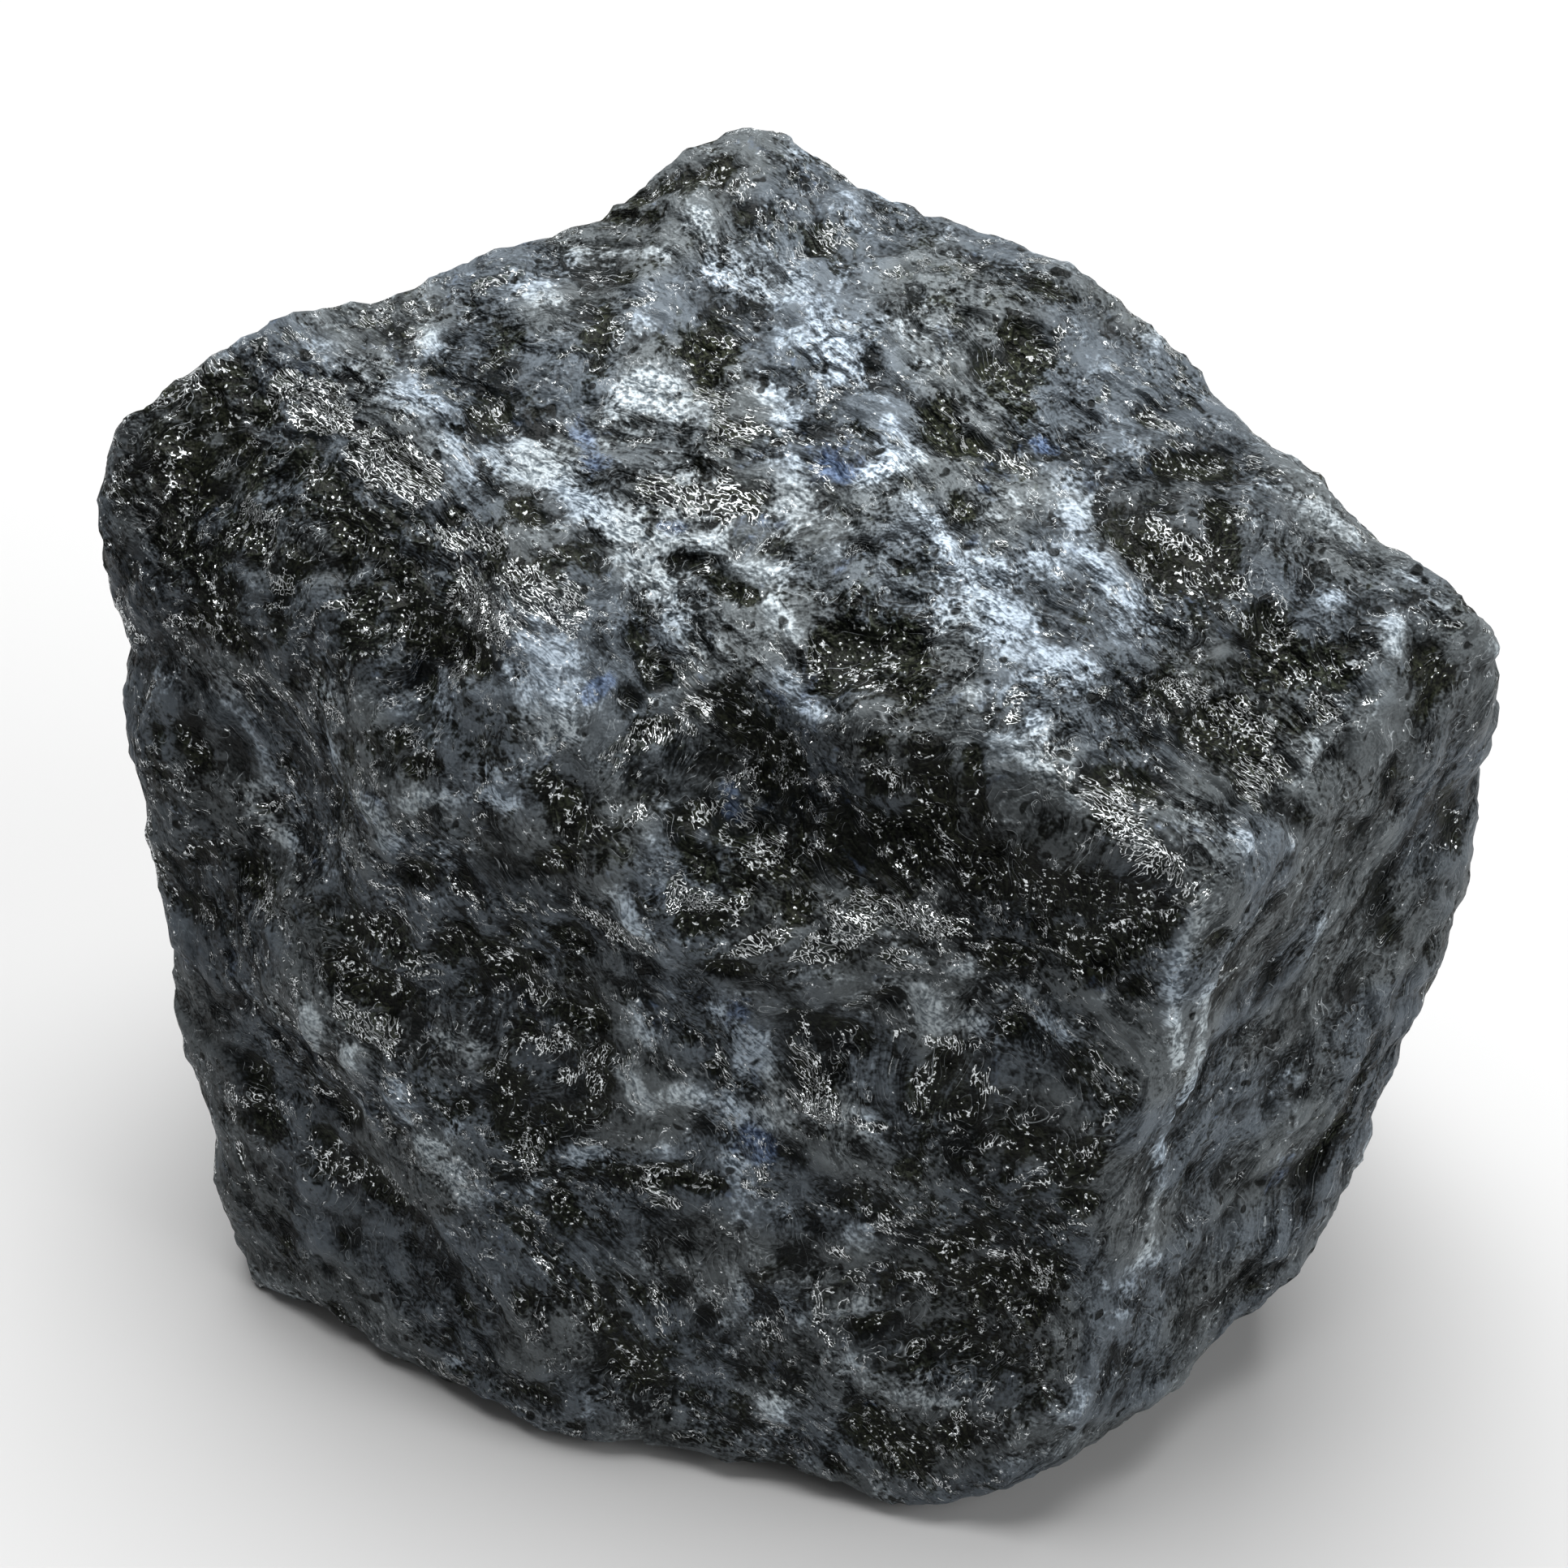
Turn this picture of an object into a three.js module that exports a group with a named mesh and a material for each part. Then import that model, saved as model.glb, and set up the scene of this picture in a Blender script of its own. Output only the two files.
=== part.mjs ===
// Rough larvikite: one broken block of dark feldspar rock, about 50 mm across.
//
// The block is a single closed solid. Cleavage planes give it flat faces that meet in rounded
// edges. On those faces lie the scars and swells of the break, and over them the lumps that its
// grains leave. Units are millimetres and +Z is up. The origin is the middle of the block's
// bounding box, at the height of the surface that it rests on.

import * as THREE from "three";
import { ImprovedNoise } from "three/addons/math/ImprovedNoise.js";
import { mergeVertices } from "three/addons/utils/BufferGeometryUtils.js";

// ---------------------------------------------------------------- driving dimensions

const HEART = new THREE.Vector3(0, -1, 22.5); // faces and radii are measured from here; z is its height
const EDGE_SHARPNESS = 34; // the higher, the tighter the rounding where two faces meet
const MESH_DETAIL = 20; // divisions along each side of the starting icosahedron

const LUMP_HEIGHT = 1.2; // broad lumps of the break
const LUMP_SPACING = 13;
const GRAIN_HEIGHT = 0.55; // smaller lumps left by the grains
const GRAIN_SPACING = 4.6;
const NOISE_OCTAVES = 2; // each octave is half as high and half as wide as the one before

const STONE_COLOUR = 0x4c5051;
const STONE_ROUGHNESS = 0.5;

// The faces of the break. compass is the way a face looks, in degrees anticlockwise from +X,
// rise is how far it looks up, in degrees, and distance is how far it lies from the heart.
const FACES = [
  { name: "top", compass: 272, rise: 76, distance: 16.5 },
  { name: "front", compass: 256, rise: 14, distance: 13.3 },
  { name: "right", compass: 309, rise: 3, distance: 22.6 },
  { name: "back left", compass: 118, rise: 10, distance: 19.5 },
  { name: "back right", compass: 60, rise: 8, distance: 17.7 },
  { name: "low back right", compass: 41, rise: 10, distance: 19.8 },
  { name: "left", compass: 161, rise: -13, distance: 23.3 },
  { name: "far right", compass: 6, rise: -15, distance: 26.1 },
  { name: "upper left", compass: 241, rise: 42, distance: 16.7 },
  { name: "lower left", compass: 235, rise: 9, distance: 16.2 },
  { name: "shoulder", compass: 283, rise: 52, distance: 19.6 },
  { name: "under right", compass: 317, rise: -53, distance: 29.3 },
  { name: "under left", compass: 233, rise: -60, distance: 31.5 },
  { name: "base", compass: 0, rise: -90, distance: HEART.z },
];

// The scars (negative height) and swells (positive height) of the break. Each follows a line
// from one point to another and fades out sideways over its width.
const RELIEF = [
  { name: "broken back left rim", from: [-15, 10, 40], to: [-10, 12, 42], width: 5, height: -2.2 },
  { name: "notch in the back right rim", from: [20, 0, 38], to: [23, -3, 38], width: 3.5, height: -1.2 },
  { name: "dip in the back right rim", from: [7, 12, 42], to: [11, 10, 42], width: 4, height: -1 },
  { name: "worn back right rim", from: [14, 7, 40], to: [18, 1, 39], width: 3, height: -0.5 },
  { name: "notch in the right side", from: [27, -5, 27.5], to: [25, -11, 26], width: 1.6, height: -0.9 },
  { name: "right side swell", from: [26, -7, 24], to: [26, -7, 22], width: 3, height: 0.6 },
  { name: "dip under the left corner", from: [-27, 2, 32], to: [-27, 0, 29], width: 3, height: -0.5 },
  { name: "left side swell", from: [-26, -1, 25], to: [-26, -2, 22], width: 4, height: 0.8 },
  { name: "left foot", from: [-24, -6, 10], to: [-22, -9, 3], width: 6, height: 1.7 },
  { name: "knob on the left foot", from: [-24, -9, 8], to: [-24, -9, 6], width: 2, height: 0.7 },
  { name: "front toe", from: [6, -21, 3], to: [8, -21, 3], width: 4, height: 0.9 },
  { name: "right toe", from: [15, -18, 4], to: [18, -16, 4], width: 4, height: 1 },
  { name: "knob on the right toe", from: [16, -18, 5], to: [16, -18, 3], width: 1.6, height: 0.8 },
  { name: "nick beside the right toe", from: [19, -16, 7], to: [19, -16, 4], width: 1.5, height: -0.8 },
  { name: "swell low on the right", from: [21, -14, 7], to: [23, -12, 9], width: 2.5, height: 0.6 },
  { name: "left toe", from: [-18, -15, 2], to: [-13, -17, 2], width: 3, height: 0.6 },
  { name: "lobe under the top", from: [-8, -7, 37], to: [-8, -11, 32], width: 3, height: 1.2 },
  { name: "gully beside the lobe", from: [-4, -7, 37], to: [-2, -11, 34], width: 3, height: -1.5 },
  { name: "hollow under the front edge", from: [2, -12, 32.5], to: [10, -15, 29], width: 4.5, height: -1.9 },
  { name: "tongue at the front corner", from: [11, -15, 33], to: [14, -16, 32], width: 3, height: 1.8 },
  { name: "break along the right rim", from: [19, -12, 35], to: [24, -8, 36.5], width: 3.5, height: -1.2 },
  { name: "ledge across the front", from: [-4, -14, 28], to: [6, -15, 27], width: 3, height: 1 },
  { name: "swell low on the front", from: [-3, -15, 20], to: [0, -16, 15], width: 6, height: 0.8 },
  { name: "scoop in the left side", from: [-21, -5, 29], to: [-20, -7, 25], width: 5, height: -1.6 },
  { name: "ridge of the lower left", from: [-20, -8, 21], to: [-9, -18, 8], width: 2.6, height: 1.6 },
  { name: "hollow of the lower left", from: [-19, -10, 12], to: [-15, -14, 6], width: 3.5, height: -0.8 },
  { name: "ridge of the front corner", from: [14, -16, 29], to: [11, -19, 8], width: 2.5, height: 0.8 },
  { name: "hollow of the right face", from: [21, -12, 27], to: [20, -14, 15], width: 6, height: -0.8 },
];

// ---------------------------------------------------------------- shape

const NOISE_OFFSET = new THREE.Vector3(31, 17, 5); // picks this block's own lumps out of the noise
const noise = new ImprovedNoise();

function outward({ compass, rise }) {
  const turn = THREE.MathUtils.degToRad(compass);
  const lift = THREE.MathUtils.degToRad(rise);
  return new THREE.Vector3(Math.cos(lift) * Math.cos(turn), Math.cos(lift) * Math.sin(turn), Math.sin(lift));
}

const planes = FACES.map((face) => ({ normal: outward(face), distance: face.distance }));

const scars = RELIEF.map(({ from, to, width, height }) => {
  const line = new THREE.Line3(new THREE.Vector3(...from), new THREE.Vector3(...to));
  return { line, width, height };
});

// How far the block reaches from its heart in one direction, with its edges rounded.
function blockReach(direction) {
  let sum = 0;
  for (const { normal, distance } of planes) {
    sum += Math.max(0, normal.dot(direction) / distance) ** EDGE_SHARPNESS;
  }
  return sum ** (-1 / EDGE_SHARPNESS);
}

// How far the scars and swells lift the surface at a point.
function relief(point) {
  const nearest = new THREE.Vector3();
  let lift = 0;
  for (const { line, width, height } of scars) {
    line.closestPointToPoint(point, true, nearest);
    const gap = point.distanceTo(nearest) / width;
    lift += height * Math.exp(-gap * gap);
  }
  return lift;
}

// Lumps of one spacing, each octave finer and lower than the last.
function lumps(point, spacing) {
  let lift = 0;
  let share = 1;
  for (let octave = 0; octave < NOISE_OCTAVES; octave += 1) {
    const at = point.clone().divideScalar(spacing * share).add(NOISE_OFFSET);
    lift += share * noise.noise(at.x, at.y, at.z);
    share /= 2;
  }
  return lift;
}

// The point of the surface in one direction from the heart. Nothing reaches below the floor,
// so the lumps that would do so end in the flat patches on which the block rests.
function surfacePoint(direction) {
  const reach = blockReach(direction);
  const point = direction.clone().multiplyScalar(reach).add(HEART);
  const broad = LUMP_HEIGHT * lumps(point, LUMP_SPACING);
  const fine = GRAIN_HEIGHT * lumps(point, GRAIN_SPACING);
  const grown = reach + relief(point) + broad + fine;
  const toFloor = direction.z < 0 ? HEART.z / -direction.z : Infinity;
  return direction.clone().multiplyScalar(Math.min(grown, toFloor)).add(HEART);
}

function stoneGeometry() {
  const ball = new THREE.IcosahedronGeometry(1, MESH_DETAIL);
  ball.deleteAttribute("normal");
  ball.deleteAttribute("uv");
  const geometry = mergeVertices(ball, 1e-5);
  const position = geometry.getAttribute("position");
  const direction = new THREE.Vector3();
  for (let i = 0; i < position.count; i += 1) {
    direction.fromBufferAttribute(position, i).normalize();
    position.setXYZ(i, ...surfacePoint(direction));
  }
  geometry.computeBoundingBox();
  const middle = geometry.boundingBox.getCenter(new THREE.Vector3());
  geometry.translate(-middle.x, -middle.y, 0);
  geometry.computeVertexNormals();
  return geometry;
}

// ---------------------------------------------------------------- assembly

const material = new THREE.MeshStandardMaterial({
  color: STONE_COLOUR,
  roughness: STONE_ROUGHNESS,
  metalness: 0,
});

const stone = new THREE.Mesh(stoneGeometry(), material);
stone.name = "larvikite_stone";

const part = new THREE.Group();
part.add(stone);

export default part;
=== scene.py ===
"""Rough larvikite: the finished surface of one broken block of dark feldspar rock.

The block takes its form from the node larvikite_stone. A finer skin is grown over that form, with
the lumps and chips that its grains leave, and is dressed in the minerals of the rock: grey
feldspar, pale feldspar, feldspar with a blue flash, and nearly black pyroxene that glints.
The glints, the blue flash, shade in pits and hollows, light on what stands out and broad patches of painted
light and shade are painted into the colour.
Lengths are in metres, except where a name or a docstring says millimetres.
"""

import logging
import math
from dataclasses import dataclass
from enum import Enum

import bpy
import numpy as np
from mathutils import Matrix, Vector

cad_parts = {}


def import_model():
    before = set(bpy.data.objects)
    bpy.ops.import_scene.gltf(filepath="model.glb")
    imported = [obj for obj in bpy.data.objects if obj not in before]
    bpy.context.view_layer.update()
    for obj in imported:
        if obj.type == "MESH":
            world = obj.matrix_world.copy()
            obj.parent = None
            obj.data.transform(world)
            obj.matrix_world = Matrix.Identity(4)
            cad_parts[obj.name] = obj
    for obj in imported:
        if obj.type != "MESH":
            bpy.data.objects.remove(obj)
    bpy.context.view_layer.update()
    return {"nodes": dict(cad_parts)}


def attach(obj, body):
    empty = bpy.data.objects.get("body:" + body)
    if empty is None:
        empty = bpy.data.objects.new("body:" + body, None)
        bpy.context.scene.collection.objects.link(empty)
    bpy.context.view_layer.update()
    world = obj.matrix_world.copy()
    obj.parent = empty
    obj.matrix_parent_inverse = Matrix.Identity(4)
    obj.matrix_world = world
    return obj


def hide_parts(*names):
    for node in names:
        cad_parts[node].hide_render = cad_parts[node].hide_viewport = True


LOG = logging.getLogger("larvikite")
MM = 0.001

# Attributes of the skin.
# The finish paints shade into hollows and light onto bumps by how far a spot stands out.
STAND = "standing_out"  # how far a spot stands out of its surroundings
CHARTED = "charted"  # how fully the masses below cover a side
FLOW = "flow"  # the position in millimetres, bent with the flow of the rock

NUMBER = "NodeSocketFloat"
VECTOR = "NodeSocketVector"

Colour = tuple[float, float, float, float]
Point = tuple[float, float, float]
Socket = bpy.types.NodeSocket


def from_screen(red: int, green: int, blue: int) -> Colour:
    """Turns a colour as a screen shows it into the linear one that shaders use.

    Args:
        red: Red, 0 to 255.
        green: Green, 0 to 255.
        blue: Blue, 0 to 255.

    Returns:
        The linear colour, opaque.
    """

    def linear(part: int) -> float:
        """Turns one part of the colour by the sRGB curve, which is a straight line near black."""
        share = part / 255
        return ((share + 0.055) / 1.055) ** 2.4 if part > 10 else share / 12.92

    return (linear(red), linear(green), linear(blue), 1.0)


def looking(compass: float, rise: float) -> Vector:
    """Gives the direction of a compass bearing and a rise.

    Args:
        compass: Degrees anticlockwise from +X.
        rise: Degrees above the level.

    Returns:
        The direction, of length one.
    """
    turn = math.radians(compass)
    lift = math.radians(rise)
    return Vector((math.cos(lift) * math.cos(turn), math.cos(lift) * math.sin(turn), math.sin(lift)))


# ---------------------------------------------------------------- what the rock is made of


class Mineral(Enum):
    """What lies in masses: minerals, stretches of even rock, and patches of lighter or darker tone that are
    partly the rock's own and partly painted light and shade.

    A value is the name of the skin's attribute for it.
    """

    PALE = "pale_feldspar"
    DARK = "dark_pyroxene"
    # Cleavage faces whose glints are painted into the colour as highlights.
    GLINT = "glinting_cleavage"
    # Feldspar whose blue schiller, a sheen that shows at some angles, is painted into its colour.
    FLASH = "blue_flash"
    CALM = "even_slate_grey"
    # Broad patches that are partly the rock's own tone and partly painted light and painted shade.
    FRESH = "fresh_light_break"
    DULL = "dull_deep_break"


class Lay(Enum):
    """The ways that the cleavage strokes run. A value is the name of the skin's attribute for it."""

    ACROSS = "lay_across"
    UPRIGHT = "lay_upright"
    SLANTING = "lay_slanting"


@dataclass(frozen=True)
class Mass:
    """One mass in the surface. Its ends and its width are in millimetres."""

    start: Point
    end: Point
    width: float
    strength: float

    def depth_at(self, points: np.ndarray) -> np.ndarray:
        """Works out how far inside the mass points are.

        Args:
            points: Points in millimetres, one a row.

        Returns:
            The strength along the line from start to end, fading sideways to none.
        """
        start = np.array(self.start)
        run = np.array(self.end) - start
        along = np.clip((points - start) @ run / max(float(run @ run), 1e-9), 0.0, 1.0)
        gap = np.linalg.norm(points - start - along[:, None] * run, axis=1) / self.width
        return self.strength * np.exp(-gap * gap)


def masses(*rows: tuple[float, ...]) -> tuple[Mass, ...]:
    """Lays out masses from rows of plain numbers.

    Args:
        rows: For each mass the three numbers of its start, the three of its end, its width and its
            strength. A round mass leaves out the end.

    Returns:
        The masses.
    """
    return tuple(Mass(row[:3], row[-5:-2], row[-2], row[-1]) for row in rows)


PALE_MASSES = masses(
    (-11.5, -0.8, 39.3, -10.7, -1.7, 39.2, 0.3, 1.3),
    (-10.7, -1.7, 39.2, -9.3, -2.5, 39.3, 0.3, 1.7),
    (-9.3, -2.5, 39.3, -7.8, -4.1, 39.3, 0.3, 1.7),
    (-7.8, -4.1, 39.3, -6.5, -4.6, 38.9, 0.3, 1.7),
    (-6.5, -4.6, 38.9, -5.4, -4.6, 38.5, 0.3, 1.5),
    (-5.4, -4.6, 38.5, -3.0, -4.5, 38.0, 0.3, 1.3),
    (-6.5, -4.6, 38.9, -6.2, -5.5, 38.4, 0.3, 1.4),
    (-6.2, -5.5, 38.4, -5.1, -6.0, 37.4, 0.4, 1.5),
    (-5.1, -6.0, 37.4, -4.6, -6.3, 36.9, 0.4, 1.4),
    (-5.9, 1.7, 40.3, -4.9, 1.3, 40.3, 1.2, 1.6),
    (-3.8, -5.2, 37.4, -0.8, -5.8, 37.7, 0.6, 0.9),
    (-5.6, 2.0, 40.4, -4.8, 1.1, 40.3, 0.8, 1.4),
    (-8.4, 9.1, 41.2, -4.9, 8.3, 41.9, 0.5, 0.5),
    (-15.1, 1.9, 40.1, -13.9, 1.0, 40.0, 0.7, 1.4),
    (-14.1, 3.8, 40.4, -13.9, 4.7, 40.7, 0.6, 0.8),
    (-15.7, 3.1, 40.3, -13.3, -0.4, 39.6, 1.1, 0.5),
    (-13.2, -0.4, 39.6, -12.3, -1.7, 39.2, 0.5, 0.8),
    (-10.1, -0.9, 39.2, -8.7, -2.5, 39.4, 0.6, 1.5),
    (-8.6, -2.9, 39.4, -6.5, -4.6, 38.9, 0.5, 1.2),
    (-6.5, -4.6, 38.9, -4.4, -4.7, 38.1, 0.5, 1.0),
    (-4.4, -4.7, 38.1, -2.7, -4.6, 38.0, 0.5, 1.3),
    (-5.3, -5.5, 37.8, -4.6, -5.9, 37.2, 0.5, 1.5),
    (-5.9, -5.5, 38.1, -4.0, -6.6, 36.6, 0.7, 0.8),
    (-6.2, 1.3, 40.1, -4.7, 0.6, 40.2, 0.7, 1.4),
    (-3.9, 1.8, 40.5, -3.1, 0.2, 40.1, 0.5, 0.6),
    (-0.9, 1.2, 40.2, -0.4, 0.2, 39.9, 0.6, 1.0),
    (-3.7, 9.7, 42.5, 0.6, 0.8),
    (-9.8, 6.8, 41.2, -9.2, 5.6, 41.1, 0.6, 0.8),
    (-5.9, 5.4, 41.5, -5.8, 4.4, 41.3, 0.5, 0.5),
    (-0.3, 3.6, 41.4, 0.4, 3.3, 41.3, 0.6, 0.9),
    (-0.5, 7.0, 41.9, 2.0, 2.3, 40.9, 1.3, 0.6),
    (0.4, 6.4, 41.9, 0.4, 5.1, 41.7, 0.3, 0.9),
    (1.9, 6.2, 41.9, 0.3, 0.9),
    (-2.0, 7.0, 41.7, -3.3, 6.7, 41.7, 0.4, 0.5),
    (2.1, 11.5, 42.0, 3.5, 9.3, 41.7, 0.6, 0.7),
    (0.1, -1.3, 39.2, -0.2, -3.2, 38.5, 0.7, 0.9),
    (2.8, -2.4, 39.5, 4.7, -1.7, 39.9, 0.6, 1.0),
    (3.6, -0.1, 40.1, 4.1, -1.7, 39.9, 0.4, 1.0),
    (4.1, -3.5, 39.6, 5.5, -4.8, 39.1, 0.5, 1.0),
    (5.5, -4.8, 39.1, 6.1, -6.0, 38.5, 0.5, 0.9),
    (6.1, -6.3, 38.4, 9.6, -6.6, 38.7, 0.9, 0.7),
    (7.0, -7.5, 38.1, 8.2, -8.4, 37.9, 0.7, 1.4),
    (7.4, -9.0, 37.7, 7.7, -8.8, 37.7, 0.4, 1.3),
    (6.1, -8.1, 37.7, 9.5, -10.9, 37.5, 1.0, 0.7),
    (10.4, -5.7, 39.0, 12.3, -7.6, 38.3, 0.6, 0.9),
    (9.2, -10.8, 37.5, 11.0, -10.8, 37.4, 0.5, 0.9),
    (11.7, -9.4, 38.0, 0.5, 0.8),
    (6.3, -11.1, 36.9, 7.6, -11.4, 37.1, 0.4, 0.9),
    (-1.1, -6.8, 37.3, 0.1, -8.4, 36.7, 0.5, 0.8),
    (-0.3, -9.5, 36.1, 0.9, -11.1, 35.4, 0.6, 1.0),
    (-8.5, -9.3, 37.2, -9.1, -10.4, 36.2, 0.7, 1.5),
    (-9.1, -10.4, 36.2, -8.4, -11.1, 35.0, 0.7, 1.4),
    (-8.8, -11.5, 34.2, 0.6, 1.1),
    (-9.9, -8.9, 37.8, -7.2, -10.3, 35.6, 1.2, 0.7),
    (-6.7, -9.6, 36.0, 0.5, 0.7),
    (-10.5, -8.5, 38.0, -7.7, -8.4, 37.7, 0.5, 0.8),
    (7.5, -13.3, 36.4, 9.4, -14.3, 36.2, 0.5, 1.6),
    (9.4, -13.9, 36.4, 10.0, -15.4, 35.7, 0.4, 1.6),
    (8.6, -12.6, 36.8, 9.1, -13.0, 36.7, 0.4, 1.0),
    (16.3, -15.5, 33.6, 0.4, 1.5),
    (19.3, -11.4, 34.6, 18.5, -12.8, 33.6, 0.4, 0.9),
    (21.6, -10.0, 34.9, 21.7, -10.9, 32.8, 0.6, 0.5),
    (22.2, -7.3, 36.5, 22.3, -8.1, 36.0, 0.4, 1.5),
    (19.9, -6.6, 37.1, 0.5, 0.8),
    (19.6, -2.7, 38.2, 21.1, -3.6, 37.8, 0.6, 0.8),
    (22.4, -5.2, 37.4, 26.3, -7.1, 35.1, 0.4, 0.7),
    (6.1, 3.7, 41.0, 5.7, 2.2, 40.6, 0.7, 0.5),
    (10.1, -3.2, 39.3, 11.0, -6.0, 39.0, 0.7, 0.6),
    (11.7, 3.0, 40.5, 14.6, 0.9, 39.3, 0.6, 0.4),
    (-20.5, -1.1, 37.0, -19.4, -2.5, 36.6, 0.4, 0.7),
    (-21.1, -2.4, 35.3, -20.3, -3.7, 34.6, 0.5, 0.7),
    (-22.1, -3.8, 31.6, -21.4, -4.2, 28.8, 0.6, 0.6),
    (-21.4, -4.2, 28.8, -20.6, -5.4, 26.3, 0.5, 0.6),
    (-19.1, -5.6, 30.8, 0.4, 0.5),
    (-16.3, -7.9, 33.3, 0.4, 0.6),
    (-14.6, -10.1, 29.9, -10.7, -11.5, 31.5, 0.5, 1.0),
    (-16.2, -9.6, 28.9, -15.3, -10.2, 27.6, 0.6, 1.2),
    (-21.3, -5.5, 24.6, -19.7, -6.8, 23.8, 0.5, 1.0),
    (-6.8, -13.5, 28.8, -5.8, -13.9, 26.3, 0.5, 1.0),
    (-5.3, -12.7, 30.8, 0.3, 0.8),
    (-19.3, -10.6, 18.2, -19.2, -10.9, 16.5, 0.5, 1.0),
    (-17.6, -12.0, 17.1, 0.7, 1.5),
    (-16.0, -12.9, 16.5, -15.3, -13.6, 15.3, 0.6, 1.2),
    (-14.8, -14.0, 14.6, -14.2, -14.4, 14.4, 0.6, 1.2),
    (-13.5, -15.1, 13.5, -12.8, -15.6, 12.5, 0.7, 1.0),
    (-13.9, -12.6, 19.1, -12.2, -13.3, 19.1, 0.6, 0.6),
    (-6.1, -14.3, 22.1, -5.5, -14.7, 21.5, 0.6, 0.8),
    (-4.7, -14.4, 23.9, 0.4, 0.8),
    (-6.5, -15.1, 20.0, -5.9, -15.6, 18.7, 0.6, 0.9),
    (-4.2, -15.7, 19.5, -3.6, -15.8, 19.2, 0.6, 1.4),
    (-2.4, -16.2, 18.9, -1.1, -16.6, 18.9, 0.9, 0.9),
    (-5.1, -16.2, 16.7, 0.5, 1.2),
    (-2.2, -16.8, 17.1, -1.8, -17.9, 14.5, 1.0, 0.7),
    (-3.0, -14.9, 23.5, 0.4, 0.9),
    (-1.4, -15.3, 22.6, -1.4, -15.4, 21.4, 0.7, 1.0),
    (-7.8, -15.4, 15.7, -8.6, -15.3, 15.0, 0.5, 1.0),
    (-10.4, -15.6, 13.3, 0.4, 0.7),
    (0.4, -16.6, 19.7, 1.7, -17.0, 19.6, 0.5, 1.3),
    (2.8, -17.3, 19.6, 0.4, 1.4),
    (1.6, -15.3, 28.3, 2.3, -15.5, 28.2, 0.4, 1.0),
    (4.9, -15.0, 29.0, 5.4, -15.3, 28.6, 0.5, 1.1),
    (4.0, -15.8, 27.5, 6.4, -16.2, 27.1, 0.5, 0.6),
    (5.0, -16.5, 25.6, 5.4, -16.7, 24.7, 0.8, 1.2),
    (6.6, -16.6, 24.8, 0.5, 1.0),
    (8.3, -16.2, 26.4, 10.1, -17.4, 24.9, 0.5, 0.7),
    (11.4, -17.2, 26.9, 0.4, 0.9),
    (12.1, -16.7, 34.5, 0.4, 0.9),
    (14.5, -17.7, 32.4, 13.8, -17.8, 28.3, 0.4, 1.0),
    (13.8, -17.8, 28.3, 14.5, -18.3, 24.5, 0.5, 0.9),
    (15.2, -17.5, 32.6, 14.7, -17.8, 31.1, 0.3, 0.6),
    (15.2, -17.5, 27.7, 15.1, -16.9, 20.9, 0.6, 0.8),
    (14.4, -17.7, 20.3, 14.3, -18.0, 16.5, 0.6, 0.9),
    (14.6, -18.4, 12.5, 0.5, 0.8),
    (17.2, -16.0, 32.0, 18.3, -14.1, 31.8, 0.4, 0.8),
    (2.2, -18.4, 14.3, 3.5, -18.6, 14.8, 0.3, 1.0),
    (2.1, -18.4, 13.9, 3.8, -19.1, 13.0, 0.6, 0.6),
    (2.5, -20.0, 7.6, 0.6, 0.9),
    (4.4, -20.9, 6.4, 6.3, -21.3, 6.7, 0.4, 0.7),
    (-0.8, -20.0, 4.3, 0.7, 0.8),
    (0.2, -18.9, 9.4, 2.7, -19.3, 10.4, 0.6, 0.5),
    (14.1, -18.4, 15.2, 13.0, -20.2, 11.2, 1.2, 0.5),
    (12.1, -21.5, 8.7, 10.6, -22.3, 4.8, 0.9, 0.5),
    (20.5, -12.6, 26.2, 0.8, 0.4),
    (22.3, -10.5, 28.3, 0.6, 0.5),
    (20.1, -13.9, 16.1, 19.4, -14.4, 13.7, 0.5, 0.5),
)
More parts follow.
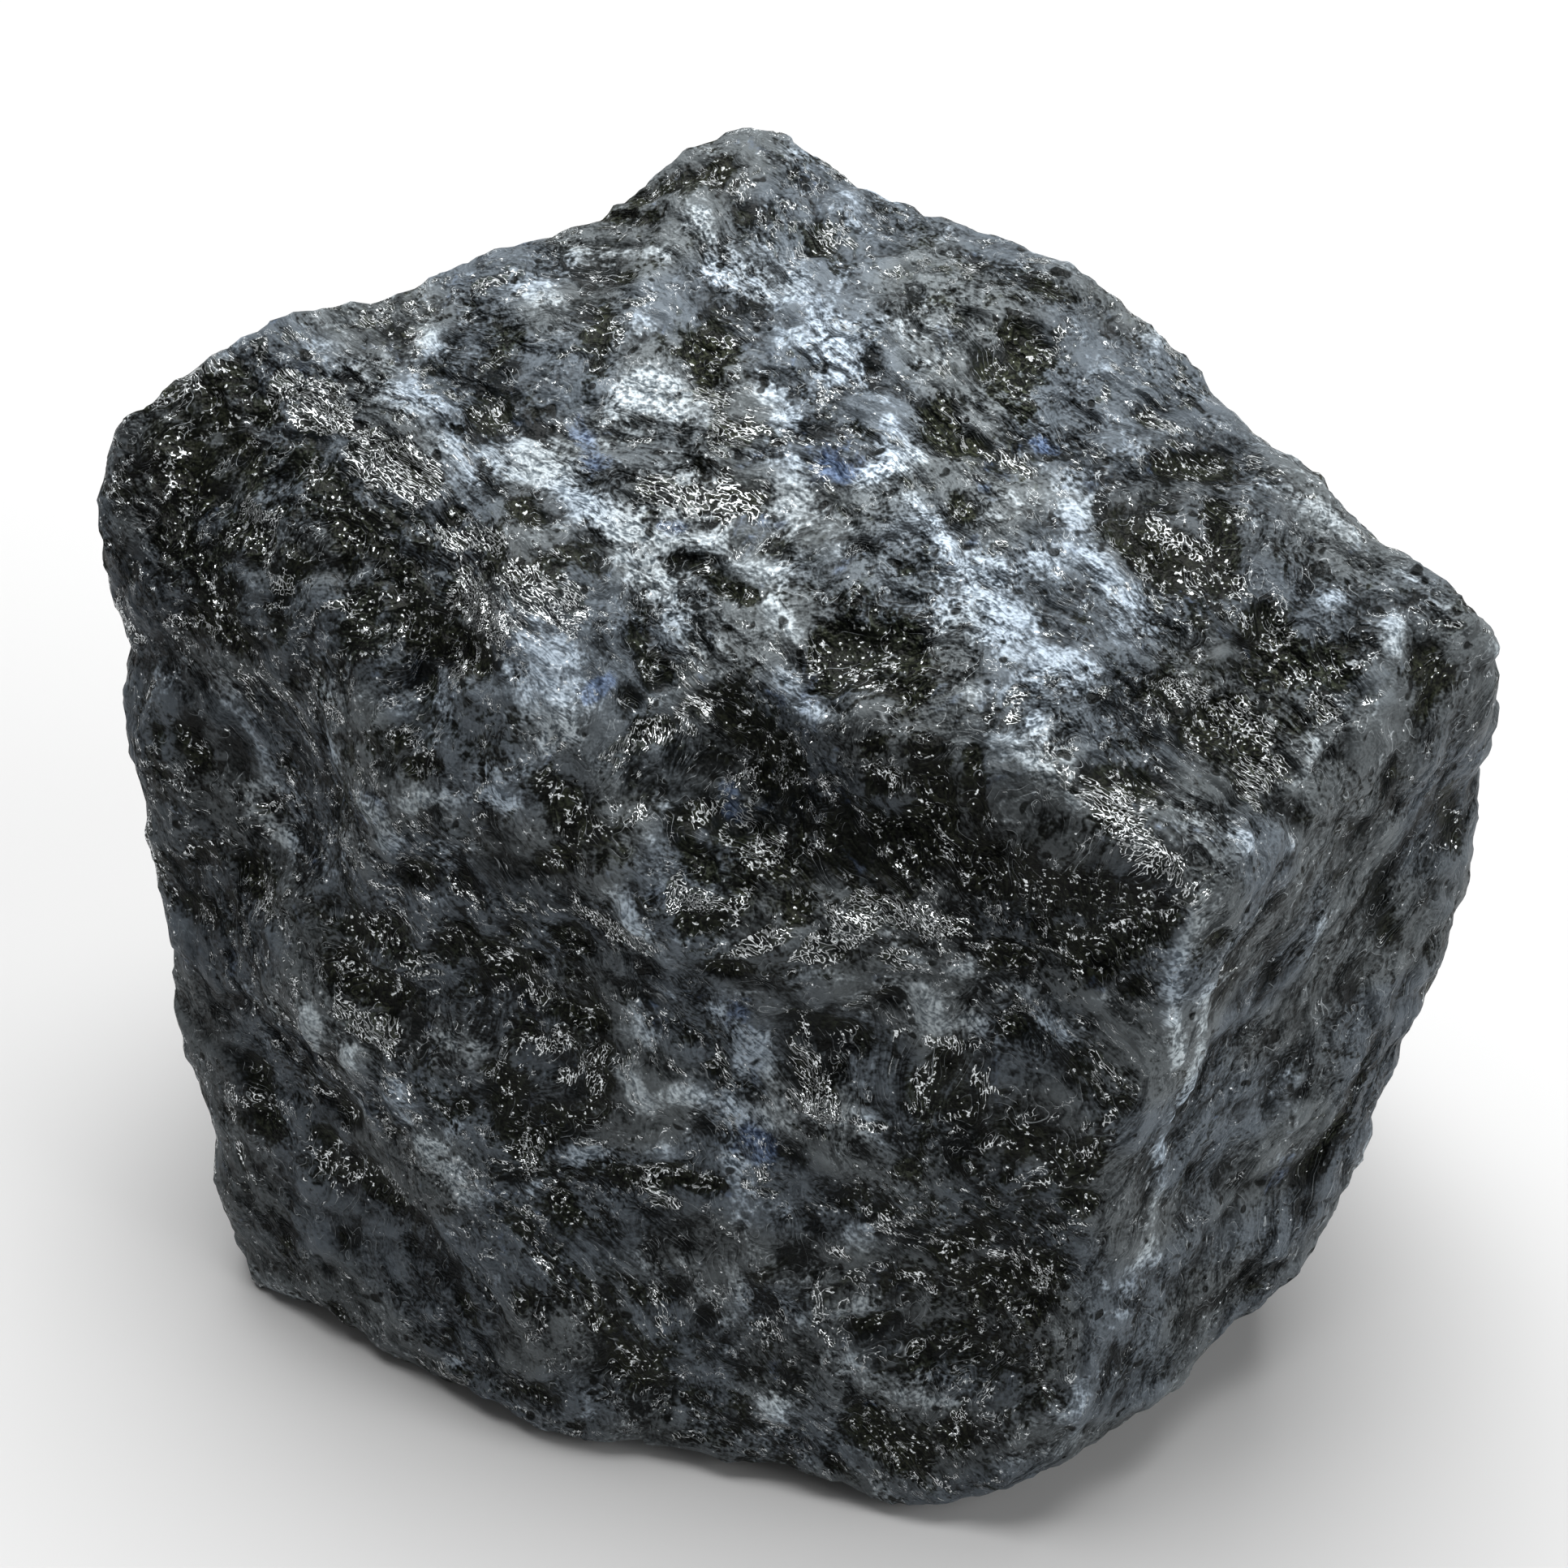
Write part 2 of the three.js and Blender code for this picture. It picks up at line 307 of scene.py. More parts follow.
DARK_MASSES = masses(
    (-17.8, -1.7, 38.3, -16.6, -4.3, 37.0, 0.8, 0.9),
    (-23.3, -3.1, 32.7, -21.0, -4.0, 32.9, 0.8, 0.8),
    (-23.7, 0.5, 36.8, 0.6, 0.7),
    (-10.3, -7.1, 39.1, -8.5, -6.9, 39.0, 0.7, 0.5),
    (1.0, -9.3, 36.4, 4.2, -10.5, 36.9, 1.2, 1.0),
    (13.6, -5.8, 38.8, 15.3, -6.6, 38.3, 1.1, 1.0),
    (14.9, -10.2, 36.8, 19.8, -9.0, 36.0, 0.9, 0.6),
    (11.4, -14.3, 36.0, 11.7, -15.8, 35.4, 0.9, 0.7),
    (15.5, -11.0, 36.0, 16.6, -13.1, 34.3, 0.7, 0.5),
    (10.0, -16.3, 29.0, 13.0, -17.5, 30.8, 0.8, 0.8),
    (-3.5, -11.7, 31.1, -0.5, -12.9, 30.2, 0.8, 0.7),
    (-16.7, -10.4, 22.4, -15.0, -11.6, 22.3, 0.9, 0.7),
    (-11.4, -12.6, 23.9, -9.3, -13.4, 22.4, 0.9, 0.7),
    (-8.7, -13.8, 20.6, -7.1, -14.6, 20.5, 0.8, 0.7),
    (-11.4, -14.5, 15.9, -9.1, -14.7, 16.6, 0.8, 0.8),
    (-19.3, -11.2, 9.6, -17.6, -12.4, 9.5, 1.0, 0.7),
    (-10.7, -17.6, 8.7, -7.7, -18.3, 7.5, 1.0, 0.5),
    (8.4, -20.4, 12.5, 1.1, 0.8),
    (3.9, -18.5, 15.3, 5.5, -19.2, 14.2, 0.8, 0.6),
    (10.7, -18.4, 23.6, 12.3, -19.3, 22.8, 0.8, 0.6),
    # The wide, weak masses from here make broad stretches darker: partly dark grains, partly painted shade.
    (-24.2, 1.3, 37.3, -20.9, -2.5, 35.4, 3.5, 0.5),
    (-16.6, -2.6, 38.3, -13.7, -6.4, 36.9, 2.4, 0.5),
    (2.2, -9.5, 36.6, 4.2, -12.3, 36.0, 1.8, 0.3),
    (-1.4, -13.8, 29.4, 3.1, -14.2, 29.8, 2.1, 0.3),
    (14.4, -6.4, 38.5, 16.7, -11.5, 35.2, 2.4, 0.3),
    (-10.5, -14.7, 15.6, -9.0, -18.0, 8.2, 2.3, 0.2),
    (8.5, -18.8, 18.2, 8.7, -20.7, 11.9, 2.4, 0.3),
    (5.2, -14.3, 30.3, 8.5, -15.7, 29.7, 1.8, 0.3),
    (-25.2, -4.0, 23.9, -23.5, -6.0, 19.9, 1.8, 0.2),
    (-5.9, 11.8, 42.0, -3.0, 12.2, 42.8, 0.8, 1.0),
    (-7.9, 11.2, 41.3, -5.6, 10.5, 42.0, 0.6, 0.6),
    (-1.8, 9.8, 42.4, 0.4, 0.8),
    (-0.3, 11.7, 42.5, 0.5, 0.5),
    (1.2, 9.6, 42.1, 1.1, 8.3, 42.1, 0.5, 0.7),
    (-6.5, 7.3, 41.4, 0.5, 0.8),
    (-7.4, 5.3, 41.3, -7.3, 2.5, 40.5, 0.6, 0.9),
    (-3.3, 3.9, 41.0, -3.4, 2.2, 40.7, 0.9, 1.0),
    (-2.4, 5.4, 41.4, -1.7, 5.5, 41.4, 0.5, 0.5),
    (-11.0, 4.7, 40.9, -11.5, 0.6, 39.6, 0.8, 0.5),
    (-12.0, 1.0, 39.7, 0.4, 0.7),
    (-16.7, 0.3, 39.6, -16.0, 0.5, 39.9, 0.4, 0.7),
    (-21.6, 3.4, 39.8, -20.3, 1.6, 39.2, 0.7, 1.1),
    (-23.0, 1.0, 37.6, -22.8, -0.1, 36.5, 0.8, 1.3),
    (-22.1, 2.3, 39.0, -20.9, 0.5, 38.0, 0.8, 0.8),
    (-24.0, -0.9, 35.3, -22.7, -2.0, 34.8, 0.9, 0.9),
    (-22.7, -2.0, 34.8, -22.0, -3.2, 33.6, 0.8, 0.9),
    (-21.9, -3.1, 33.8, -21.4, -4.0, 32.5, 0.7, 1.3),
    (-23.1, -3.1, 32.7, 0.6, 1.0),
    (-19.6, -4.9, 33.8, 0.5, 0.8),
    (-25.6, -1.3, 33.8, 0.4, 0.6),
    (-18.4, -0.6, 38.6, -17.4, -2.2, 38.2, 0.9, 1.0),
    (-17.4, -2.2, 38.2, -16.3, -3.5, 37.7, 0.9, 1.2),
    (-16.3, -3.5, 37.7, -14.0, -5.8, 37.1, 0.7, 1.0),
    (-19.1, -3.6, 35.7, 0.6, 0.7),
    (-15.9, -5.7, 36.3, -16.5, -6.5, 35.3, 0.9, 1.0),
    (-14.7, -5.9, 36.8, -13.6, -7.3, 36.0, 0.8, 1.2),
    (-13.6, -7.4, 35.9, -11.7, -8.9, 36.5, 0.7, 1.5),
    (-13.6, -8.3, 34.5, 0.5, 1.0),
    (-13.5, -4.3, 38.2, 0.5, 0.6),
    (-12.7, -3.6, 38.7, 0.4, 0.9),
    (-11.4, -5.9, 38.9, -11.2, -6.7, 38.8, 0.7, 0.8),
    (-10.1, -3.8, 39.4, -9.5, -4.4, 39.4, 0.5, 1.0),
    (-8.8, -5.6, 39.4, -7.3, -6.2, 38.7, 0.4, 0.6),
    (-7.5, -1.8, 39.6, 0.5, 0.4),
    (-5.6, -8.3, 36.6, -4.9, -9.0, 35.7, 0.6, 1.0),
    (-4.2, -5.0, 37.8, -2.9, -5.4, 37.3, 0.3, 1.4),
    (-2.9, -5.4, 37.3, -1.5, -6.6, 37.3, 0.3, 1.4),
    (-6.0, -9.9, 35.3, 0.5, 0.7),
    (-5.3, -10.6, 34.1, 0.6, 0.9),
    (-2.3, -10.0, 34.5, -0.5, -11.0, 33.4, 1.0, 1.0),
    (-1.2, -10.9, 32.0, 0.5, 1.4),
    (1.6, -8.7, 36.6, 3.8, -9.1, 37.0, 1.1, 1.5),
    (-2.6, -0.4, 39.9, 0.4, 0.7),
    (-24.0, -3.7, 27.1, -23.5, -4.2, 26.0, 0.8, 0.8),
    (-25.2, -3.2, 26.6, 0.4, 0.7),
    (-17.2, -8.3, 31.1, -14.7, -9.3, 32.6, 0.8, 0.6),
    (-14.2, -9.9, 31.4, -13.4, -10.0, 31.9, 0.4, 0.9),
    (-20.0, -5.4, 27.1, 0.4, 0.6),
    (-8.6, -12.1, 32.2, -8.1, -12.5, 31.1, 1.0, 1.2),
    (-9.3, -12.5, 28.8, -8.3, -12.8, 29.7, 0.6, 1.0),
    (-21.5, -6.4, 22.2, -21.4, -6.9, 21.6, 0.8, 1.1),
    (-24.8, -5.4, 19.2, -23.4, -6.3, 19.2, 0.7, 0.6),
    (-14.8, -10.6, 26.3, -14.0, -10.9, 26.5, 0.5, 0.9),
    (-12.5, -11.3, 26.7, 0.4, 0.8),
    (-17.0, -10.1, 22.3, -15.6, -11.0, 23.1, 0.8, 1.1),
    (-17.5, -10.5, 20.6, -15.7, -11.6, 20.4, 1.1, 1.4),
    (-13.5, -12.0, 23.7, -12.5, -12.1, 24.5, 0.6, 0.9),
    (-10.6, -12.7, 25.4, 0.5, 0.9),
    (-11.1, -12.8, 23.2, -10.1, -13.0, 23.7, 0.6, 1.0),
    (-8.4, -13.2, 25.4, -8.1, -13.3, 25.0, 0.6, 1.0),
    (-13.1, -12.7, 21.7, -11.8, -12.7, 22.8, 0.6, 0.5),
    (-10.4, -13.3, 20.7, 0.6, 1.0),
    (-9.0, -13.5, 21.8, -7.5, -14.1, 21.8, 0.6, 1.1),
    (-7.9, -13.5, 23.5, -7.8, -14.7, 19.1, 0.9, 0.5),
    (-22.3, -8.6, 12.0, -22.1, -9.5, 9.6, 0.7, 1.1),
    (-11.3, -13.9, 17.7, -11.3, -14.7, 15.5, 0.9, 1.2),
    (-10.8, -15.0, 14.9, -9.9, -14.8, 15.5, 0.5, 1.3),
    (-13.0, -13.8, 16.4, 0.5, 0.5),
    (-19.5, -10.8, 10.5, -18.9, -11.3, 10.5, 0.5, 0.9),
    (-18.1, -11.1, 12.4, 0.5, 0.7),
    (-17.8, -12.2, 9.7, -16.5, -13.3, 9.4, 0.9, 1.2),
    (-21.4, -10.7, 7.3, -21.6, -11.8, 2.6, 0.6, 0.6),
    (-18.8, -12.6, 5.9, 0.6, 1.0),
    (-15.8, -14.0, 7.3, 0.6, 0.5),
    (-9.2, -15.9, 12.7, -8.9, -16.2, 12.3, 0.6, 1.2),
    (-10.9, -16.2, 11.7, -7.6, -16.6, 11.8, 0.7, 0.5),
    (-6.9, -16.1, 14.5, -4.6, -16.7, 15.6, 0.4, 1.4),
    (-4.6, -16.7, 15.6, -3.0, -17.3, 15.5, 0.4, 1.4),
    (-13.6, -15.6, 5.8, -13.3, -15.9, 5.4, 0.5, 1.0),
    (-14.6, -15.8, 3.4, 0.7, 0.5),
    (-9.6, -17.1, 10.2, -5.8, -18.9, 4.9, 1.4, 0.6),
    (-9.3, -17.7, 8.8, 0.5, 0.7),
    (-7.8, -18.5, 6.9, 0.5, 0.7),
    (-5.5, -18.8, 5.8, 0.5, 0.8),
    (-6.4, -17.9, 9.1, -4.7, -18.0, 9.3, 0.5, 0.6),
    (-3.4, -18.4, 8.4, 0.5, 0.5),
    (-12.0, -17.7, 2.6, -10.2, -18.6, 3.1, 0.6, 0.6),
    (-19.5, -13.2, 1.6, 0.5, 0.5),
    (3.3, -12.8, 33.6, 0.7, 1.4),
    (2.9, -12.4, 35.1, 0.6, 1.0),
    (4.8, -13.0, 35.4, 5.1, -13.5, 34.0, 0.8, 1.1),
    (6.4, -13.5, 35.9, 6.7, -14.5, 33.8, 0.4, 1.2),
    (4.0, -13.4, 31.4, 5.3, -13.8, 32.9, 0.7, 1.5),
    (0.7, -12.8, 30.8, 6.6, -14.7, 31.7, 1.4, 0.9),
    (6.7, -14.7, 30.8, 12.4, -17.3, 31.9, 1.4, 1.0),
    (-1.1, -13.1, 30.0, -0.4, -13.3, 29.9, 0.5, 1.4),
    (-1.7, -13.9, 29.2, 0.4, 0.8),
    (0.0, -14.4, 29.1, 0.1, -14.9, 28.7, 0.5, 1.0),
    (9.1, -16.0, 29.1, 0.4, 1.4),
    (12.4, -17.3, 31.1, 11.1, -16.8, 28.3, 0.8, 1.7),
    (12.4, -17.5, 27.5, 0.5, 1.1),
    (7.7, -15.8, 27.9, 8.3, -15.8, 27.8, 0.6, 1.1),
    (2.5, -15.8, 27.5, 0.6, 0.8),
    (2.4, -16.0, 23.1, 0.6, 0.8),
    (3.5, -16.2, 25.6, 0.4, 0.8),
    (0.7, -15.4, 23.3, 2.0, -15.8, 23.1, 0.6, 0.5),
    (-4.0, -14.7, 28.0, -2.9, -14.7, 28.1, 0.5, 1.1),
    (-2.9, -15.0, 25.8, -1.9, -15.4, 26.1, 0.4, 1.0),
    (-4.2, -12.2, 30.9, -3.2, -13.4, 29.8, 0.5, 1.0),
    (-3.0, -15.5, 20.6, 0.4, 1.1),
    (-4.0, -15.0, 21.8, 0.4, 0.6),
    (8.2, -16.8, 24.6, 0.5, 1.1),
    (1.6, -16.1, 21.4, 0.4, 0.8),
    (5.8, -16.9, 22.7, 0.5, 1.1),
    (4.8, -17.0, 21.3, 0.6, 0.5),
    (4.5, -18.0, 17.9, 0.6, 0.5),
    (2.4, -18.1, 15.8, 0.6, 0.5),
    (6.6, -17.5, 20.5, 10.9, -19.3, 19.4, 1.6, 0.6),
    (8.3, -18.5, 19.4, 8.2, -18.7, 17.9, 0.3, 0.9),
    (10.7, -19.6, 17.7, 11.4, -19.8, 17.6, 0.6, 1.1),
    (5.9, -19.4, 14.0, 7.1, -19.4, 14.9, 0.6, 1.1),
    (7.6, -20.0, 13.0, 9.9, -20.3, 13.9, 1.1, 1.1),
    (9.1, -20.7, 12.2, 9.8, -20.6, 12.6, 0.6, 1.4),
    (4.0, -19.3, 12.6, 7.2, -20.1, 12.1, 1.3, 0.5),
    (2.9, -19.6, 9.2, 4.0, -19.8, 10.1, 0.5, 1.1),
    (4.0, -20.0, 9.0, 9.1, -21.3, 10.3, 1.6, 0.5),
    (0.3, -19.8, 6.2, 0.8, 0.5),
    (2.8, -21.1, 4.6, 4.4, -21.8, 3.8, 1.1, 1.1),
    (6.7, -21.8, 5.2, 0.7, 1.0),
    (-0.2, -20.8, 1.8, 0.3, 0.9),
    (1.8, -21.4, 2.2, 0.5, 0.9),
    (-1.5, -18.5, 11.4, -0.2, -18.5, 12.2, 0.6, 0.5),
    (14.8, -12.0, 35.7, 16.1, -10.9, 35.9, 0.7, 1.4),
    (16.1, -11.2, 35.7, 16.8, -12.0, 34.9, 0.6, 1.4),
    (17.1, -8.0, 37.2, 17.7, -7.8, 37.2, 0.7, 1.4),
    (17.4, -8.4, 36.9, 20.1, -9.2, 35.9, 0.9, 1.0),
    (18.4, -9.3, 36.1, 19.8, -8.8, 36.2, 0.6, 1.4),
    (12.4, -10.9, 37.1, 14.8, -11.4, 36.0, 0.9, 0.6),
    (11.1, -14.6, 36.0, 12.7, -14.5, 35.5, 0.6, 1.2),
    (16.0, -13.1, 34.7, 16.3, -13.6, 34.4, 0.6, 0.5),
    (23.5, -8.3, 35.6, 24.2, -8.5, 34.7, 0.7, 1.0),
    (24.2, -8.5, 34.7, 23.3, -9.5, 34.0, 0.6, 0.9),
    (22.5, -10.5, 31.6, 0.7, 0.6),
    (25.3, -8.0, 27.9, 26.2, -7.7, 25.0, 0.6, 0.8),
    (14.2, -0.9, 39.1, 16.1, -0.6, 38.5, 0.6, 1.2),
    (14.0, -3.5, 39.0, 0.5, 0.8),
    (15.9, -3.1, 38.8, 16.0, -5.8, 38.5, 0.6, 1.1),
    (12.4, -5.2, 39.1, 14.0, -6.6, 38.5, 0.5, 1.7),
    (12.7, -4.8, 39.1, 15.6, -6.7, 38.3, 1.1, 1.0),
    (5.5, 0.9, 40.3, 5.9, -0.9, 40.0, 0.6, 1.2),
    (5.9, -0.9, 40.0, 6.9, -0.8, 39.8, 0.5, 1.1),
    (6.2, -3.6, 39.5, 6.4, -4.1, 39.4, 0.4, 1.1),
    (8.8, 4.2, 41.2, 9.2, 3.2, 40.9, 0.8, 1.1),
    (7.3, 3.1, 40.8, 8.4, 2.0, 40.6, 0.7, 0.9),
    (8.9, 0.8, 40.2, 0.4, 0.8),
    (6.5, 4.6, 41.4, 0.4, 0.8),
    (9.6, 7.0, 41.5, 10.7, 6.1, 41.2, 0.7, 0.7),
    (6.4, 8.2, 41.9, 8.1, 7.7, 41.8, 0.6, 0.6),
    (3.1, 2.9, 40.9, 0.4, 0.8),
    (13.5, 0.8, 39.8, 0.4, 0.9),
    (4.2, -6.1, 38.4, 0.4, 0.6),
    (6.0, -9.2, 37.5, 0.4, 0.7),
    (15.6, -17.5, 30.4, 0.5, 0.9),
    (22.7, -10.4, 25.6, 23.4, -10.8, 22.8, 0.6, 0.7),
    (18.1, -14.5, 25.1, 0.6, 0.6),
    (23.2, -11.9, 16.8, 22.6, -12.6, 13.7, 0.6, 0.7),
    (22.4, -12.7, 13.7, 21.2, -13.7, 11.9, 0.7, 1.2),
    (19.1, -15.6, 6.6, 19.9, -15.2, 7.1, 0.6, 0.7),
)
FLASH_MASSES = masses(
    (-7.4, -10.3, 35.8, -6.7, -9.6, 36.0, 0.4, 1.4),
    (-3.3, -9.1, 35.4, 0.4, 1.1),
    (-8.1, 0.0, 39.7, -7.2, -1.7, 39.7, 0.7, 1.1),
    (1.3, -1.4, 39.4, 2.0, -2.0, 39.4, 0.6, 1.0),
    (-4.9, -4.1, 38.6, -4.2, -4.1, 38.4, 0.4, 1.1),
    (-16.3, -9.5, 29.6, -15.8, -9.8, 29.0, 0.5, 0.8),
    (-2.5, -10.8, 31.6, -2.1, -11.3, 31.0, 0.6, 0.9),
    (-1.7, -16.6, 18.3, -1.1, -17.0, 17.6, 0.6, 1.2),
    (-2.2, -15.1, 23.4, -1.4, -15.4, 22.7, 0.6, 0.8),
    (9.4, -0.5, 39.7, 9.8, -0.8, 39.6, 0.4, 0.8),
    (-9.1, -11.7, 33.6, -8.7, -11.5, 34.0, 0.3, 0.9),
    (-5.7, -15.2, 20.2, -5.5, -15.5, 19.1, 0.6, 0.6),
)
# Lighter patches: partly the rock's own tone, partly painted light.
LIGHTER_TONE_AND_LIGHT_MASSES = masses(
    (-19.5, -12.0, 6.8, -9.2, -18.6, 4.5, 3.1, 0.2),
    (-4.5, 0.0, 40.1, -0.5, 2.7, 41.0, 1.5, 0.5),
    (5.5, 6.8, 42.0, 8.1, 0.1, 40.0, 1.9, 1.2),
    (4.2, 5.7, 41.7, 7.4, -3.0, 39.4, 2.8, 0.9),
    (-6.9, 1.0, 40.0, 1.9, 0.9),
    (3.5, -1.6, 39.8, 4.3, -6.8, 38.1, 1.8, 1.3),
    (-16.7, -8.9, 30.9, -17.4, -8.7, 26.2, 1.6, 0.6),
    (-12.5, -9.8, 33.5, -10.1, -11.8, 31.2, 2.1, 0.9),
    (-6.1, -13.9, 23.5, -4.2, -15.2, 21.2, 1.7, 0.7),
    (2.6, -17.5, 19.0, 5.1, -17.5, 19.1, 1.6, 0.7),
    (-6.5, -13.5, 29.0, -4.5, -14.4, 24.6, 1.5, 0.9),
    (-16.6, -12.1, 18.0, -13.9, -12.9, 18.4, 1.3, 0.5),
    (-17.2, -14.1, 4.0, -14.3, -15.4, 5.1, 1.4, 0.7),
    (3.9, -17.5, 19.1, 5.1, -17.7, 18.8, 1.3, 0.6),
    (8.4, -17.1, 24.0, 8.7, -17.3, 23.8, 1.2, 0.6),
    (20.7, -11.8, 30.7, 22.6, -10.4, 26.1, 1.9, 0.7),
    (7.0, 6.1, 41.9, 7.1, -1.4, 39.7, 2.0, 0.5),
    (-7.2, 1.0, 40.0, -6.6, 0.6, 40.0, 1.5, 0.5),
    (-12.5, -9.6, 34.1, -10.1, -11.8, 31.7, 1.5, 0.7),
    (-4.1, -14.7, 26.3, -3.9, -14.6, 24.8, 1.5, 0.9),
    (-2.5, -19.5, 4.7, 2.8, -20.7, 5.8, 1.7, 0.7),
    (-17.9, -13.8, 3.6, -14.3, -15.4, 5.1, 1.4, 0.5),
    (14.5, -19.2, 8.2, 14.6, -19.5, 6.4, 1.7, 0.7),
    (19.4, -13.1, 29.9, 22.1, -11.5, 23.6, 2.8, 0.8),
    (-16.0, -3.0, 38.3, -14.4, -3.8, 38.2, 0.8, 0.7),
    (-20.6, -0.3, 37.5, -20.2, -1.8, 36.7, 0.6, 0.8),
    (-18.8, 0.5, 39.0, -18.3, 0.1, 39.0, 0.6, 0.8),
    (-8.7, 8.9, 41.2, -4.3, 8.2, 42.0, 0.8, 0.8),
    (2.5, -4.5, 38.8, 4.0, -7.7, 37.7, 1.2, 0.6),
    (-11.8, -9.8, 35.2, -9.7, -11.5, 33.5, 1.1, 0.7),
    (-4.8, -14.4, 25.5, -2.3, -15.1, 24.0, 1.0, 0.7),
    (8.6, -16.9, 24.7, 10.7, -17.7, 24.9, 0.7, 0.9),
    (3.9, -17.2, 20.0, 4.2, -17.4, 19.5, 0.7, 0.8),
    (0.8, -20.2, 5.6, 4.1, -20.9, 6.3, 0.7, 0.9),
    (14.4, -17.8, 20.5, 16.2, -16.1, 14.8, 0.8, 0.7),
    (-14.2, -14.9, 7.8, -13.5, -15.2, 7.2, 0.7, 0.8),
    (-6.1, 4.3, 41.3, -0.5, 7.0, 41.9, 3.1, 0.5),
    (-0.5, 1.5, 40.4, 5.1, 3.2, 41.0, 3.1, 0.5),
    (2.3, -1.4, 39.7, 5.2, -3.3, 39.7, 2.4, 0.6),
    (-6.6, 1.0, 40.0, -3.9, 1.4, 40.5, 2.2, 0.4),
    (-1.4, -5.3, 37.9, -0.5, -6.3, 37.6, 2.4, 0.5),
    (-12.7, -10.6, 29.9, -10.1, -11.8, 31.2, 2.1, 0.5),
    (-20.4, -4.8, 28.4, -19.1, -5.5, 28.7, 1.6, 0.5),
    (-3.6, -14.7, 23.1, -4.0, -17.4, 13.8, 2.5, 0.5),
    (-10.2, -13.1, 23.5, -8.7, -14.2, 19.0, 1.9, 0.3),
    (2.3, -16.1, 22.2, 4.5, -17.8, 18.4, 2.5, 0.4),
    (12.7, -17.8, 26.7, 18.8, -14.8, 15.7, 3.4, 0.6),
    (18.4, -14.9, 13.2, 18.7, -15.7, 8.3, 2.3, 0.4),
    (20.3, -12.2, 28.1, 22.7, -10.7, 24.6, 2.2, 0.4),
)
# Darker patches: partly the rock's own tone, partly painted shade.
DARKER_TONE_AND_SHADE_MASSES = masses(
    (7.2, -14.1, 35.8, 10.3, -16.5, 34.0, 1.2, 0.7),
    (10.9, -16.8, 32.7, 14.0, -16.2, 34.6, 1.2, 0.9),
    (-22.5, -0.4, 36.4, -22.5, -2.2, 34.6, 1.3, 0.5),
    (0.7, -13.1, 30.4, 13.4, -17.3, 33.4, 1.6, 0.8),
    (10.5, -15.6, 35.6, 15.4, -11.8, 35.5, 1.3, 0.6),
    (8.6, -19.3, 16.3, 8.7, -20.4, 12.6, 1.4, 0.6),
    (-16.3, -2.0, 38.6, -10.0, -6.8, 39.2, 1.5, 0.7),
    (-25.8, 1.1, 36.3, -25.6, -1.3, 33.8, 1.1, 1.2),
    (-22.5, -2.2, 34.6, -15.9, -7.1, 35.0, 1.5, 0.5),
    (13.5, -6.1, 38.7, 15.6, -6.9, 38.2, 1.2, 0.9),
    (-22.9, 2.5, 38.8, -22.2, 0.8, 37.7, 1.1, 0.6),
    (13.9, -12.3, 36.0, 17.0, -12.1, 34.7, 1.3, 0.6),
    (6.4, -22.0, 4.4, 8.0, -22.2, 4.7, 1.2, 0.5),
    (1.9, -10.2, 36.4, 2.8, -12.1, 35.8, 1.1, 0.6),
    (12.9, -2.5, 39.0, 15.6, -8.1, 37.6, 1.8, 0.6),
    (13.0, -11.4, 36.7, 17.2, -12.9, 34.1, 1.8, 0.5),
    (-23.3, 3.4, 39.2, -18.0, 6.1, 40.8, 1.1, 0.5),
    (-25.9, 1.8, 36.9, -24.2, -2.1, 33.7, 2.9, 1.0),
    (-22.6, 1.9, 38.5, -19.9, -1.9, 36.9, 2.8, 0.6),
    (-16.0, -3.5, 37.9, -13.7, -7.5, 35.5, 2.7, 0.7),
    (-11.2, -7.3, 38.6, -8.8, -8.5, 38.0, 1.8, 0.5),
    (2.2, -9.9, 36.5, 5.1, -13.4, 34.6, 2.7, 0.6),
    (15.9, -3.1, 38.8, 16.5, -7.9, 37.5, 2.7, 0.7),
    (13.6, -12.3, 36.0, 17.3, -12.2, 34.6, 2.7, 0.7),
    (-2.3, -13.6, 29.6, 0.1, -14.2, 29.3, 2.4, 0.5),
    (-23.3, -4.4, 25.8, -23.7, -7.0, 16.5, 2.0, 0.5),
    (5.2, -15.4, 28.4, 8.1, -15.5, 30.8, 2.1, 0.5),
    (-11.8, -12.7, 23.0, -9.4, -13.9, 19.6, 1.9, 0.4),
    (7.0, -18.4, 17.7, 8.2, -20.9, 10.5, 2.2, 0.5),
    (-17.8, 1.9, 40.0, -13.9, -1.1, 39.4, 2.2, 0.4),
)
